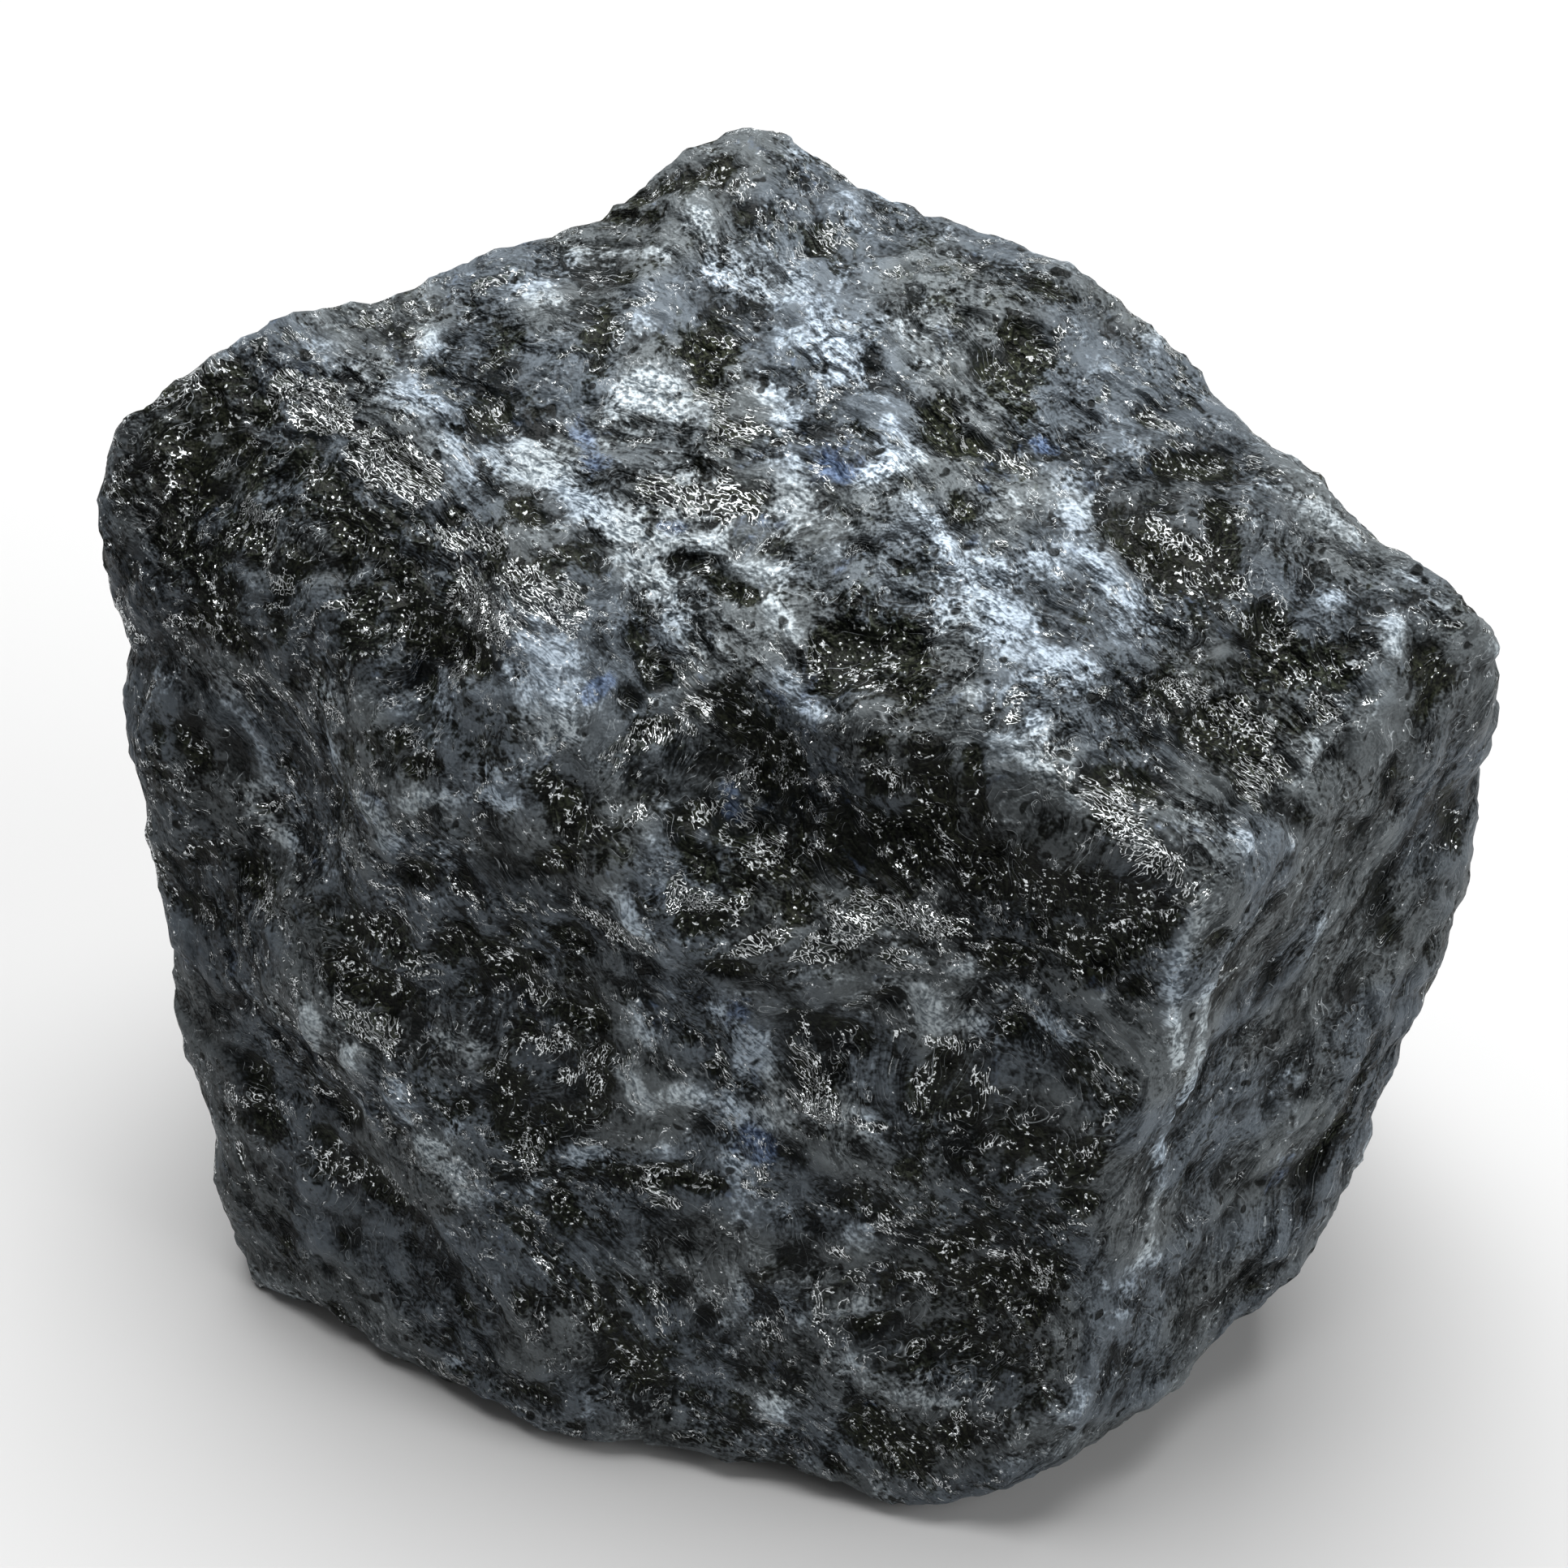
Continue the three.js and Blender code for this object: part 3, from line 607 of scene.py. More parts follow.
# Where the painted glints gather, on dark ground.
GLINT_MASSES = masses(
    (-20.5, 4.4, 40.5, -20.3, 3.5, 40.2, 0.3, 1.2),
    (-19.7, 2.4, 40.0, -17.8, 1.9, 40.0, 0.6, 1.1),
    (-18.3, 1.1, 39.6, -17.3, 0.8, 39.7, 0.7, 1.3),
    (-16.1, -0.8, 39.2, -13.9, -1.8, 39.1, 0.9, 1.0),
    (-13.2, -4.4, 38.3, -11.2, -5.3, 39.1, 0.5, 1.0),
    (-12.5, -6.5, 37.7, -11.2, -8.3, 37.7, 0.7, 0.8),
    (-9.9, -7.7, 38.8, -8.1, -7.9, 38.2, 0.8, 1.3),
    (-12.6, -8.7, 35.4, -12.3, -9.1, 35.5, 0.4, 0.8),
    (-20.9, -0.9, 36.9, -19.8, -2.0, 36.8, 0.3, 1.0),
    (-3.2, -0.2, 40.0, -0.5, -0.1, 39.8, 0.5, 0.7),
    (-3.3, 1.4, 40.5, -2.6, 0.8, 40.2, 0.4, 1.0),
    (-5.3, -2.9, 39.3, -1.6, -3.1, 38.7, 0.7, 0.9),
    (13.3, -4.4, 39.1, 15.1, -5.3, 38.8, 0.5, 1.0),
    (16.7, -3.4, 38.7, 16.9, -3.7, 38.7, 0.3, 0.9),
    (13.6, -10.7, 36.8, 14.9, -10.7, 36.4, 0.4, 1.0),
    (16.4, -11.1, 35.6, 17.6, -11.4, 35.0, 0.4, 1.0),
    (17.9, -12.3, 34.2, 16.7, -13.1, 34.3, 0.5, 0.9),
    (19.3, -10.3, 35.4, 19.7, -10.4, 35.2, 0.4, 1.0),
    (-0.9, -12.5, 30.4, -0.5, -12.7, 30.4, 0.4, 1.1),
    (0.6, -11.8, 32.6, 1.0, -12.0, 32.6, 0.4, 0.8),
    (-4.1, -10.2, 33.8, -5.9, -11.0, 33.8, 0.9, 0.7),
    (-4.2, -14.2, 29.0, -2.2, -14.4, 28.6, 0.6, 1.3),
    (-2.0, -15.1, 26.9, -0.3, -15.1, 28.1, 0.5, 1.1),
    (0.9, -15.6, 27.6, 2.6, -15.3, 28.7, 0.6, 1.4),
    (2.5, -14.5, 29.4, 3.7, -14.7, 29.4, 0.3, 1.2),
    (4.2, -15.0, 29.1, 5.5, -15.2, 28.6, 0.5, 1.4),
    (3.7, -15.8, 27.5, 4.0, -15.8, 27.3, 0.4, 0.9),
    (-7.8, -13.1, 26.8, -5.9, -13.8, 26.1, 0.4, 0.9),
    (-21.3, -6.9, 21.9, -21.1, -7.8, 21.2, 0.5, 1.0),
    (-17.9, -11.1, 18.8, -16.1, -12.0, 18.8, 0.6, 1.1),
    (1.0, -16.4, 20.3, 1.4, -16.8, 19.7, 0.5, 1.4),
    (0.1, -16.4, 19.8, 0.3, -16.5, 19.7, 0.3, 1.2),
    (2.5, -17.2, 19.7, 3.3, -17.4, 19.4, 0.3, 0.9),
    (-5.7, -16.6, 14.9, -5.2, -16.9, 14.1, 0.5, 0.9),
    (2.9, -18.3, 15.4, 3.4, -18.5, 14.7, 0.4, 0.9),
    (-10.5, -14.9, 15.3, -10.4, -15.3, 14.2, 0.3, 0.8),
    (-9.7, -15.7, 13.3, -9.4, -15.8, 13.1, 0.3, 0.9),
    (9.8, -20.3, 13.6, 10.0, -20.4, 13.2, 0.3, 1.0),
    (6.9, -17.1, 22.0, 7.9, -17.6, 21.8, 0.3, 0.9),
    (6.2, -16.8, 23.5, 5.3, -16.8, 24.1, 0.4, 0.9),
    (26.0, -7.4, 26.3, 26.2, -7.3, 25.9, 0.3, 0.8),
    (11.5, -15.9, 35.4, 13.4, -17.2, 33.6, 0.8, 0.9),
)
CALM_MASSES = masses(
    (-7.0, -13.6, 24.1, -1.1, -15.6, 25.7, 1.0, 0.6),
    (0.5, -17.6, 16.8, 3.9, -17.7, 18.3, 1.1, 0.6),
    (-4.0, -17.4, 13.8, -7.3, -17.1, 10.7, 1.2, 0.7),
    (-1.8, -17.9, 14.5, 0.8, -18.4, 13.5, 0.9, 0.7),
    (-23.6, -3.2, 29.1, -21.8, -4.3, 27.9, 1.2, 0.9),
    (-24.3, -6.2, 18.1, -24.0, -6.5, 17.9, 1.1, 0.6),
    (9.3, -17.9, 23.0, 10.0, -18.8, 20.8, 0.9, 0.7),
    (5.1, -13.4, 34.6, 5.7, -13.8, 34.1, 0.6, 0.8),
    (6.6, -14.6, 32.1, 8.4, -15.7, 31.8, 0.9, 0.6),
    (-21.4, -11.2, 5.8, -16.0, -14.0, 6.6, 2.6, 0.9),
    (-24.4, -6.9, 13.9, -22.7, -8.2, 12.8, 1.7, 0.8),
    (-10.9, -11.6, 28.7, -11.8, -11.4, 27.2, 0.7, 0.6),
    (3.8, -16.8, 21.2, 2.9, -17.5, 19.1, 0.6, 0.5),
    (-13.9, -15.4, 5.7, -9.2, -18.6, 4.5, 2.0, 0.5),
)
MASSES: dict[Mineral, tuple[Mass, ...]] = {
    Mineral.PALE: PALE_MASSES,
    Mineral.DARK: DARK_MASSES,
    Mineral.FLASH: FLASH_MASSES,
    Mineral.FRESH: LIGHTER_TONE_AND_LIGHT_MASSES,
    Mineral.DULL: DARKER_TONE_AND_SHADE_MASSES,
    Mineral.GLINT: GLINT_MASSES,
    Mineral.CALM: CALM_MASSES,
}


# ---------------------------------------------------------------- shader nodes


MIDDLE = 0.5  # the value that noise lies around
STROKE_ROUGHNESS = 0.55  # how strong each finer octave of the strokes is

# The noise that frays a mineral's border, beside the noise that scatters its grains, and how much
# that noise and the mineral's own masses push the border out.
FRAYING_SPACING = 0.35
FRAYING_OCTAVES = 2.0
FRAYING_ROUGHNESS = 0.65
FRAYING_SHARE = 0.6
MASS_SHARE = 0.3


class NodeBoard:
    """Adds nodes to a tree and wires them, so that a material reads as a list of steps."""

    def __init__(self, tree: bpy.types.NodeTree) -> None:
        """Starts with the tree that the nodes go in."""
        self.tree = tree

    def add(self, kind: str, inputs: dict[str, object] | None = None, **settings: object) -> bpy.types.Node:
        """Adds one node.

        Args:
            kind: The node's type.
            inputs: A value or a socket for each named input.
            settings: Properties of the node.

        Returns:
            The new node.
        """
        node = self.tree.nodes.new(kind)
        for name, value in settings.items():
            setattr(node, name, value)
        for name, value in (inputs or {}).items():
            self.put(value, node.inputs[name])
        return node

    def put(self, value: object, socket: Socket) -> None:
        """Fills an input with a value, or links it to a socket.

        Args:
            value: The value or the socket.
            socket: The input.
        """
        if isinstance(value, bpy.types.NodeSocket):
            self.tree.links.new(value, socket)
        else:
            socket.default_value = value

    def math(self, operation: str, *values: object) -> Socket:
        """Adds a Math node.

        Args:
            operation: The node's operation.
            values: A number or a socket for each input, in order.

        Returns:
            The result.
        """
        node = self.add("ShaderNodeMath", operation=operation)
        for value, socket in zip(values, node.inputs):
            self.put(value, socket)
        return node.outputs[0]

    def vector(self, operation: str, *values: object) -> Socket:
        """Adds a Vector Math node.

        Args:
            operation: The node's operation.
            values: A vector or a socket for each vector input, in order; for SCALE, the last is the scale.

        Returns:
            The result: a number for DOT_PRODUCT, otherwise a vector.
        """
        node = self.add("ShaderNodeVectorMath", operation=operation)
        sockets = [node.inputs[0], node.inputs["Scale"]] if operation == "SCALE" else node.inputs
        for value, socket in zip(values, sockets):
            self.put(value, socket)
        return node.outputs["Value" if operation == "DOT_PRODUCT" else "Vector"]

    def noise(self, vector: object, wavelength: float, detail: object, roughness: float = 0.5) -> Socket:
        """Adds a Noise Texture.

        Args:
            vector: Where it is read, in millimetres.
            wavelength: The spacing of its largest lumps, in millimetres.
            detail: How many finer octaves it has.
            roughness: How strong each finer octave is.

        Returns:
            The noise, around a half.
        """
        inputs = {"Vector": vector, "Scale": 1 / wavelength, "Detail": detail, "Roughness": roughness}
        return self.add("ShaderNodeTexNoise", inputs).outputs["Fac"]

    def ramp(
        self, value: object, low: object, high: object, to_low: float = 0.0, to_high: float = 1.0
    ) -> Socket:
        """Adds a smooth Map Range.

        Args:
            value: What is mapped.
            low: The value that gives to_low.
            high: The value that gives to_high.
            to_low: The result at low.
            to_high: The result at high.

        Returns:
            The result.
        """
        inputs = {"Value": value, "From Min": low, "From Max": high, "To Min": to_low, "To Max": to_high}
        return self.add("ShaderNodeMapRange", inputs, interpolation_type="SMOOTHSTEP").outputs["Result"]

    def blend(self, factor: object, first: object, second: object, way: str = "MIX") -> Socket:
        """Mixes two colours.

        Args:
            factor: How much of the second shows.
            first: The first colour.
            second: The second colour.
            way: The blend type.

        Returns:
            The mixed colour.
        """
        node = self.add("ShaderNodeMix", data_type="RGBA", blend_type=way)
        colours = [socket for socket in node.inputs if socket.type == "RGBA"]
        self.put(factor, node.inputs["Factor"])
        self.put(first, colours[0])
        self.put(second, colours[1])
        return next(socket for socket in node.outputs if socket.type == "RGBA")

    def attribute(self, name: str) -> Socket:
        """Reads one of the skin's attributes as a number."""
        return self.add("ShaderNodeAttribute", attribute_name=name).outputs["Fac"]

    def group(self, tree: bpy.types.NodeTree, inputs: dict[str, object]) -> bpy.types.Node:
        """Places a node group.

        Args:
            tree: The group.
            inputs: A value or a socket for each named input.

        Returns:
            The group's node.
        """
        node = self.tree.nodes.new("ShaderNodeGroup")
        node.node_tree = tree
        for name, value in inputs.items():
            self.put(value, node.inputs[name])
        return node


def new_group(
    name: str, inputs: dict[str, tuple[str, object]], output: str
) -> tuple[NodeBoard, dict[str, Socket], Socket]:
    """Starts a shader node group that gives one number.

    Args:
        name: The group's name.
        inputs: The socket type and default of each named input.
        output: The name of the output.

    Returns:
        The group's board, the named values that come in, and the socket that the result goes to.
    """
    tree = bpy.data.node_groups.new(name, "ShaderNodeTree")
    for label, (kind, default) in inputs.items():
        socket = tree.interface.new_socket(label, in_out="INPUT", socket_type=kind)
        socket.default_value = default
    tree.interface.new_socket(output, in_out="OUTPUT", socket_type=NUMBER)
    board = NodeBoard(tree)
    given = board.add("NodeGroupInput").outputs
    return board, {label: given[label] for label in inputs}, board.add("NodeGroupOutput").inputs[output]


def strokes_group() -> bpy.types.NodeTree:
    """Builds the group for noise that is drawn out along one direction, as cleavage strokes are.

    Returns:
        The group. Its output Strokes lies around a half.
    """
    inputs = {
        "Position": (VECTOR, (0.0, 0.0, 0.0)),
        "Direction": (VECTOR, (1.0, 0.0, 0.0)),
        "Length": (NUMBER, 1.2),
        "Width": (NUMBER, 0.2),
        "Detail": (NUMBER, 0.0),
    }
    board, given, result = new_group("cleavage strokes", inputs, "Strokes")
    run = board.vector("DOT_PRODUCT", given["Position"], given["Direction"])
    across = board.vector("SUBTRACT", given["Position"], board.vector("SCALE", given["Direction"], run))
    narrow = board.vector("SCALE", across, board.math("DIVIDE", 1.0, given["Width"]))
    long = board.vector("SCALE", given["Direction"], board.math("DIVIDE", run, given["Length"]))
    strokes = board.noise(board.vector("ADD", narrow, long), 1.0, given["Detail"], STROKE_ROUGHNESS)
    board.put(strokes, result)
    return board.tree


def mineral_group() -> bpy.types.NodeTree:
    """Builds the group for where a mineral shows: in its own masses and in scattered grains.

    Returns:
        The group. Its output Mask is 1 in the mineral, with a ragged border.
    """
    inputs = {
        "Position": (VECTOR, (0.0, 0.0, 0.0)),
        "Mass": (NUMBER, 0.0),
        "Wavelength": (NUMBER, 3.0),
        "Scatter": (NUMBER, 0.4),
        "Border": (NUMBER, 0.1),
        "Grain": (NUMBER, 0.0),
        "Chance": (NUMBER, 1.0),
    }
    board, given, result = new_group("mineral mask", inputs, "Mask")
    scaled = board.vector("SCALE", given["Position"], board.math("DIVIDE", 1.0, given["Wavelength"]))
    coarse = board.math("SUBTRACT", board.noise(scaled, 1.0, 0.0), MIDDLE)
    fraying = board.noise(scaled, FRAYING_SPACING, FRAYING_OCTAVES, FRAYING_ROUGHNESS)
    reach = board.math("MULTIPLY_ADD", coarse, given["Chance"], MIDDLE)
    reach = board.math("MULTIPLY_ADD", board.math("SUBTRACT", fraying, MIDDLE), FRAYING_SHARE, reach)
    reach = board.math("MULTIPLY_ADD", given["Mass"], MASS_SHARE, reach)
    reach = board.math("ADD", reach, given["Grain"])
    edge = board.math("SUBTRACT", 1.0, given["Scatter"])
    low = board.math("SUBTRACT", edge, given["Border"])
    high = board.math("ADD", edge, given["Border"])
    board.put(board.ramp(reach, low, high), result)
    return board.tree


@dataclass(frozen=True)
class Span:
    """A stretch of a value's range, and what its two ends turn into."""

    low: float
    high: float
    to_low: float = 0.0
    to_high: float = 1.0

    def map(self, board: NodeBoard, value: Socket) -> Socket:
        """Returns what a value turns into."""
        return board.ramp(value, self.low, self.high, self.to_low, self.to_high)


@dataclass(frozen=True)
class Shades:
    """The two shades of a mineral, and the grain over which one gives way to the other."""

    deep: Colour
    light: Colour
    grain: Span

    def mix(self, board: NodeBoard, grain: Socket) -> Socket:
        """Returns the mineral's colour at a spot with this grain."""
        return board.blend(self.grain.map(board, grain), self.deep, self.light)


@dataclass(frozen=True)
class Patches:
    """Soft patches that a noise leaves, such as pits."""

    spacing: float  # in millimetres
    detail: float  # how many finer octaves the noise has
    border: Span  # the noise over which the patches fill

    def lay(self, board: NodeBoard, place: Socket) -> Socket:
        """Returns the strength of the patches at a position in millimetres."""
        return self.border.map(board, board.noise(place, self.spacing, self.detail))


# The ways that the strokes run on each side.
STROKE_RUNS = {
    Lay.SLANTING: looking(0, -55),
    Lay.ACROSS: looking(-44, -10),
    Lay.UPRIGHT: looking(39, 62),
}


@dataclass(frozen=True)
class Strokes:
    """Cleavage strokes of one size, which run another way on each side of the stone."""

    length: float  # their spacing along the run, in millimetres
    width: float  # their spacing across it, in millimetres
    detail: float  # how many finer octaves they have

    def lay(self, board: NodeBoard, flowing: Socket) -> Socket:
        """Lays the strokes over the whole stone.

        Args:
            board: The material's board.
            flowing: The position, bent with the flow of the rock, in millimetres.

        Returns:
            The strokes, around a half.
        """
        group = bpy.data.node_groups.get("cleavage strokes") or strokes_group()
        slanting = STROKE_RUNS[Lay.SLANTING]
        direction: object = slanting
        for lay in (Lay.ACROSS, Lay.UPRIGHT):
            chosen = board.math("GREATER_THAN", board.attribute(lay.value), 0.5)
            turn = board.vector("SCALE", STROKE_RUNS[lay] - slanting, chosen)
            direction = board.vector("ADD", direction, turn)
        sizes = {"Length": self.length, "Width": self.width, "Detail": self.detail}
        return board.group(group, {"Position": flowing, "Direction": direction, **sizes}).outputs["Strokes"]


@dataclass(frozen=True)
class Habit:
    """How a mineral shows beside its own masses."""

    spacing: float  # the spacing of its scattered grains, in millimetres
    scatter: float  # the higher, the more of them there are
    border: float  # how softly it ends
    raggedness: float  # how far the fine grain pushes its border out


HABITS = {
    Mineral.PALE: Habit(3.0, 0.33, 0.12, 0.2),
    Mineral.DARK: Habit(2.4, 0.46, 0.08, -0.3),
    Mineral.GLINT: Habit(2.0, 0.4, 0.06, 0.0),
    Mineral.FLASH: Habit(2.6, 0.28, 0.12, 0.1),
}


@dataclass(frozen=True)
class LarvikiteFinish:
    """The look of broken larvikite. Lengths are in millimetres."""

    grey: Shades = Shades(from_screen(18, 21, 22), from_screen(95, 101, 106), Span(-0.34, 0.36))
    pale: Shades = Shades(from_screen(90, 100, 109), from_screen(196, 207, 217), Span(-0.24, 0.2))
    dark: Shades = Shades(from_screen(6, 8, 5), from_screen(54, 58, 45), Span(-0.15, 0.35))
    # The blue schiller, painted into the colour as a sheen.
    blue: Shades = Shades(from_screen(40, 54, 80), from_screen(118, 138, 172), Span(-0.2, 0.25))
    # The pale colour painted along the edges of ledges as highlights.
    thread: Colour = from_screen(176, 183, 187)
    # The near white painted into the colour as glints, a painted highlight; where it lies the rock is also
    # made metallic and smoother.
    painted_glint: Colour = from_screen(238, 243, 245)
    warm: Colour = (1.0, 0.99, 0.94, 1.0)
    cool: Colour = (0.95, 0.99, 1.03, 1.0)

    short: Strokes = Strokes(0.36, 0.11, 0.0)
    long: Strokes = Strokes(1.6, 0.26, 1.0)
    slopes: Strokes = Strokes(3.0, 1.1, 1.0)
    clouds: Strokes = Strokes(4.0, 1.6, 4.0)
    lively: Patches = Patches(3.4, 1.0, Span(0.42, 0.58, 0.55, 1.0))
    hue: Patches = Patches(4.5, 0.0, Span(0.38, 0.62))
    # Small pits, sunk into the bump and darkened in the colour as painted shade.
    pits: Patches = Patches(0.8, 1.0, Span(0.68, 0.74, 0.0, 0.9))
    crumb_size: float = 0.2
    crumb_detail: float = 1.0
    crumb_roughness: float = 0.6
    luck_size: float = 0.6  # the spacing of the spots that are rich in lines and glints
    luck_detail: float = 2.0
    ledge_count: float = 14.0  # how many ledges a full slope breaks into

    # How much each layer adds to the fine grain, which makes the rock lighter and darker.
    short_share: float = 0.4
    long_share: float = 0.55
    crumb_share: float = 1.15
    ledge_share: float = 0.3

    # Shares of the tone of the grey rock, and how fully each mineral hides that rock.
    cloud_share: float = 1.5
    # Paints shade into hollows and light onto what stands out.
    relief_light_and_shade_share: float = 0.16
    lean_share: float = 0.25
    pale_cover: float = 0.85
    blue_cover: float = 0.6
    dark_cover: float = 0.95
    glint_cover: float = 0.8
    tone_and_light_lift: float = 0.5  # how much lighter the patches of lighter tone and painted light are, and how much darker those of darker tone and painted shade
    calm_contrast: float = -0.3

    # What makes scattered grains of a mineral fewer or weaker.
    calm_scatter: float = -0.12
    charted_scatter: float = -0.06
    crown_scatter: float = -0.03
    charted_chance: float = -0.65
    clearing: float = 0.8  # how far pale and blue masses keep dark grains away

    # Painted highlights along the edges of ledges.
    edge: Span = Span(0.0, 0.1, 1.0, 0.0)
    edge_luck: Span = Span(0.46, 0.6, 0.0, 0.8)

    # Painted glints along threads, and what makes them likelier.
    thread_luck: Span = Span(0.63, 0.68)
    thread_glint: float = 0.28
    thread_calm: float = -0.12
    thread_charted: float = 0.04
    thickness: float = 0.03
    glint_thickness: float = 0.05  # how much thicker threads are in glinting masses
    thread_core: float = 0.4  # how much of a thread's thickness is fully light
    fraying: float = 0.4  # how far crumbs push a thread to its sides

    # Painted glinting specks, and what makes them likelier.
    speck_chance: Span = Span(0.91, 0.95)
    speck_luck: float = 0.3
    speck_dark: float = 0.105
    speck_calm: float = -0.05
    speck_charted: float = 0.02
    # How much the painted glints are dimmed on the crown.
    crown_dimming: float = -0.4

    roughness: float = 0.5
    glint_polish: float = 0.25
    glint_metal: float = 0.9
    specular: float = 0.1
    bump_height: float = 0.25
    bump_strength: float = 0.8
    ledge_bump: float = 0.9

    def material(self) -> bpy.types.Material:
        """Builds the material.

        Returns:
            The material.
        """
        material = bpy.data.materials.new("larvikite")
        material.use_nodes = True
        board = NodeBoard(material.node_tree)
        shader = material.node_tree.nodes["Principled BSDF"].inputs
        shader["Specular IOR Level"].default_value = self.specular
        place = board.vector("SCALE", board.add("ShaderNodeTexCoord").outputs["Object"], 1 / MM)
        flowing = board.add("ShaderNodeAttribute", attribute_name=FLOW).outputs["Vector"]
        short = self.short.lay(board, flowing)
        crumbs = board.noise(place, self.crumb_size, self.crumb_detail, self.crumb_roughness)
        grain = self.grain(board, short, self.long.lay(board, flowing), crumbs)
        slopes = board.math("MULTIPLY", self.slopes.lay(board, flowing), self.ledge_count)
        ledges = board.math("FRACT", slopes)
        lively = self.lively.lay(board, place)
        pits = self.pits.lay(board, place)
        calm = board.attribute(Mineral.CALM.value)
        masks = self.masks(board, flowing, grain, calm)
        uneven = board.math("MULTIPLY_ADD", board.math("SUBTRACT", ledges, MIDDLE), self.ledge_share, grain)
        uneven = board.math("MULTIPLY", uneven, lively)
        colour = self.rock(board, self.clouds.lay(board, flowing), uneven, masks, calm)
        colour = self.tint(board, place, colour)
        # The light lines and glints are painted into the colour; the glints also make the rock metallic and
        # smoother there.
        colour, glints = self.lines(board, flowing, colour, (short, ledges, crumbs), masks, calm)
        # Paint shade into the pits.
        board.put(board.blend(pits, colour, self.dark.deep), shader["Base Color"])
        board.put(board.math("MULTIPLY", glints, self.glint_metal), shader["Metallic"])
        rough = board.math("MULTIPLY_ADD", glints, -self.glint_polish, self.roughness)
        board.put(rough, shader["Roughness"])
        relief = board.math("MULTIPLY_ADD", ledges, self.ledge_bump, board.math("SUBTRACT", grain, pits))
        bump = {
            "Strength": board.math("MULTIPLY", lively, self.bump_strength),
            "Distance": self.bump_height * MM,
            "Height": relief,
        }
        board.put(board.add("ShaderNodeBump", bump).outputs["Normal"], shader["Normal"])
        return material

    def grain(self, board: NodeBoard, short: Socket, long: Socket, crumbs: Socket) -> Socket:
        """Adds up the fine grain.

        Args:
            board: The material's board.
            short: The short strokes, around a half.
            long: The long strokes, around a half.
            crumbs: The crumbs, around a half.

        Returns:
            The fine grain, around nought.
        """
        middle = -MIDDLE * (self.short_share + self.long_share + self.crumb_share)
        total = board.math("MULTIPLY_ADD", short, self.short_share, middle)
        total = board.math("MULTIPLY_ADD", long, self.long_share, total)
        return board.math("MULTIPLY_ADD", crumbs, self.crumb_share, total)

    def masks(self, board: NodeBoard, flowing: Socket, grain: Socket, calm: Socket) -> dict[Mineral, Socket]:
        """Finds where each mineral shows.

        Scattered grains are fewer in even rock. They are weaker where the masses are charted, and
        there, as on the crown, dark ones are fewer too.

        Args:
            board: The material's board.
            flowing: The position, bent with the flow of the rock, in millimetres.
            grain: The fine grain, around nought.
            calm: How even and grey the rock is here.

        Returns:
            A mask for each mineral.
        """
        group = mineral_group()
        charted = board.attribute(CHARTED)
        crown = board.attribute(Lay.ACROSS.value)
        quiet = board.math("MULTIPLY", calm, self.calm_scatter)
        bright = board.math("MULTIPLY_ADD", crown, self.crown_scatter, quiet)
        bright = board.math("MULTIPLY_ADD", charted, self.charted_scatter, bright)
        chance = board.math("MULTIPLY_ADD", charted, self.charted_chance, 1.0)
        amounts = {mineral: board.attribute(mineral.value) for mineral in HABITS}
        clear = board.math("MAXIMUM", amounts[Mineral.PALE], amounts[Mineral.FLASH])
        clear = board.math("MULTIPLY", clear, self.clearing)
        pale = board.math("SUBTRACT", amounts[Mineral.PALE], amounts[Mineral.DARK])
        dark = board.math("SUBTRACT", amounts[Mineral.DARK], clear)
        amounts.update({Mineral.PALE: pale, Mineral.DARK: dark})
        masks = {}
        for mineral, habit in HABITS.items():
            fewer = bright if mineral is Mineral.DARK else quiet
            inputs = {
                "Position": flowing,
                "Mass": amounts[mineral],
                "Wavelength": habit.spacing,
                "Scatter": board.math("ADD", fewer, habit.scatter),
                "Border": habit.border,
                "Grain": board.math("MULTIPLY", grain, habit.raggedness),
                "Chance": chance,
            }
            masks[mineral] = board.group(group, inputs).outputs["Mask"]
        return masks

    def rock(
        self, board: NodeBoard, cloud: Socket, grain: Socket, masks: dict[Mineral, Socket], calm: Socket
    ) -> Socket:
        """Mixes the colours of the minerals.

        Args:
            board: The material's board.
            cloud: The broad unevenness of the rock, around a half.
            grain: The fine grain, around nought.
            masks: The mask of each mineral.
            calm: How even and grey the rock is here.

        Returns:
            The colour.
        """
        contrast = board.math("MULTIPLY_ADD", calm, self.calm_contrast, 1.0)
        tone = board.math("MULTIPLY", board.math("SUBTRACT", cloud, MIDDLE), self.cloud_share)
        tone = board.math("MULTIPLY_ADD", grain, contrast, tone)
        # Painted shade in hollows and painted light on what stands out.
        tone = board.math("MULTIPLY_ADD", board.attribute(STAND), self.relief_light_and_shade_share, tone)
        lean = self.difference(board, Mineral.PALE, Mineral.DARK)
        tone = board.math("MULTIPLY_ADD", lean, self.lean_share, tone)
        pale = board.math("MULTIPLY", masks[Mineral.PALE], self.pale_cover)
        # The blue flash is a painted sheen.
        blue = board.math("MULTIPLY", masks[Mineral.FLASH], self.blue_cover)
        dark = board.math("MULTIPLY", masks[Mineral.DARK], self.dark_cover)
        dark = board.math("MAXIMUM", dark, board.math("MULTIPLY", masks[Mineral.GLINT], self.glint_cover))
        colour = board.blend(pale, self.grey.mix(board, tone), self.pale.mix(board, grain))
        colour = board.blend(blue, colour, self.blue.mix(board, grain))
        return board.blend(dark, colour, self.dark.mix(board, grain))

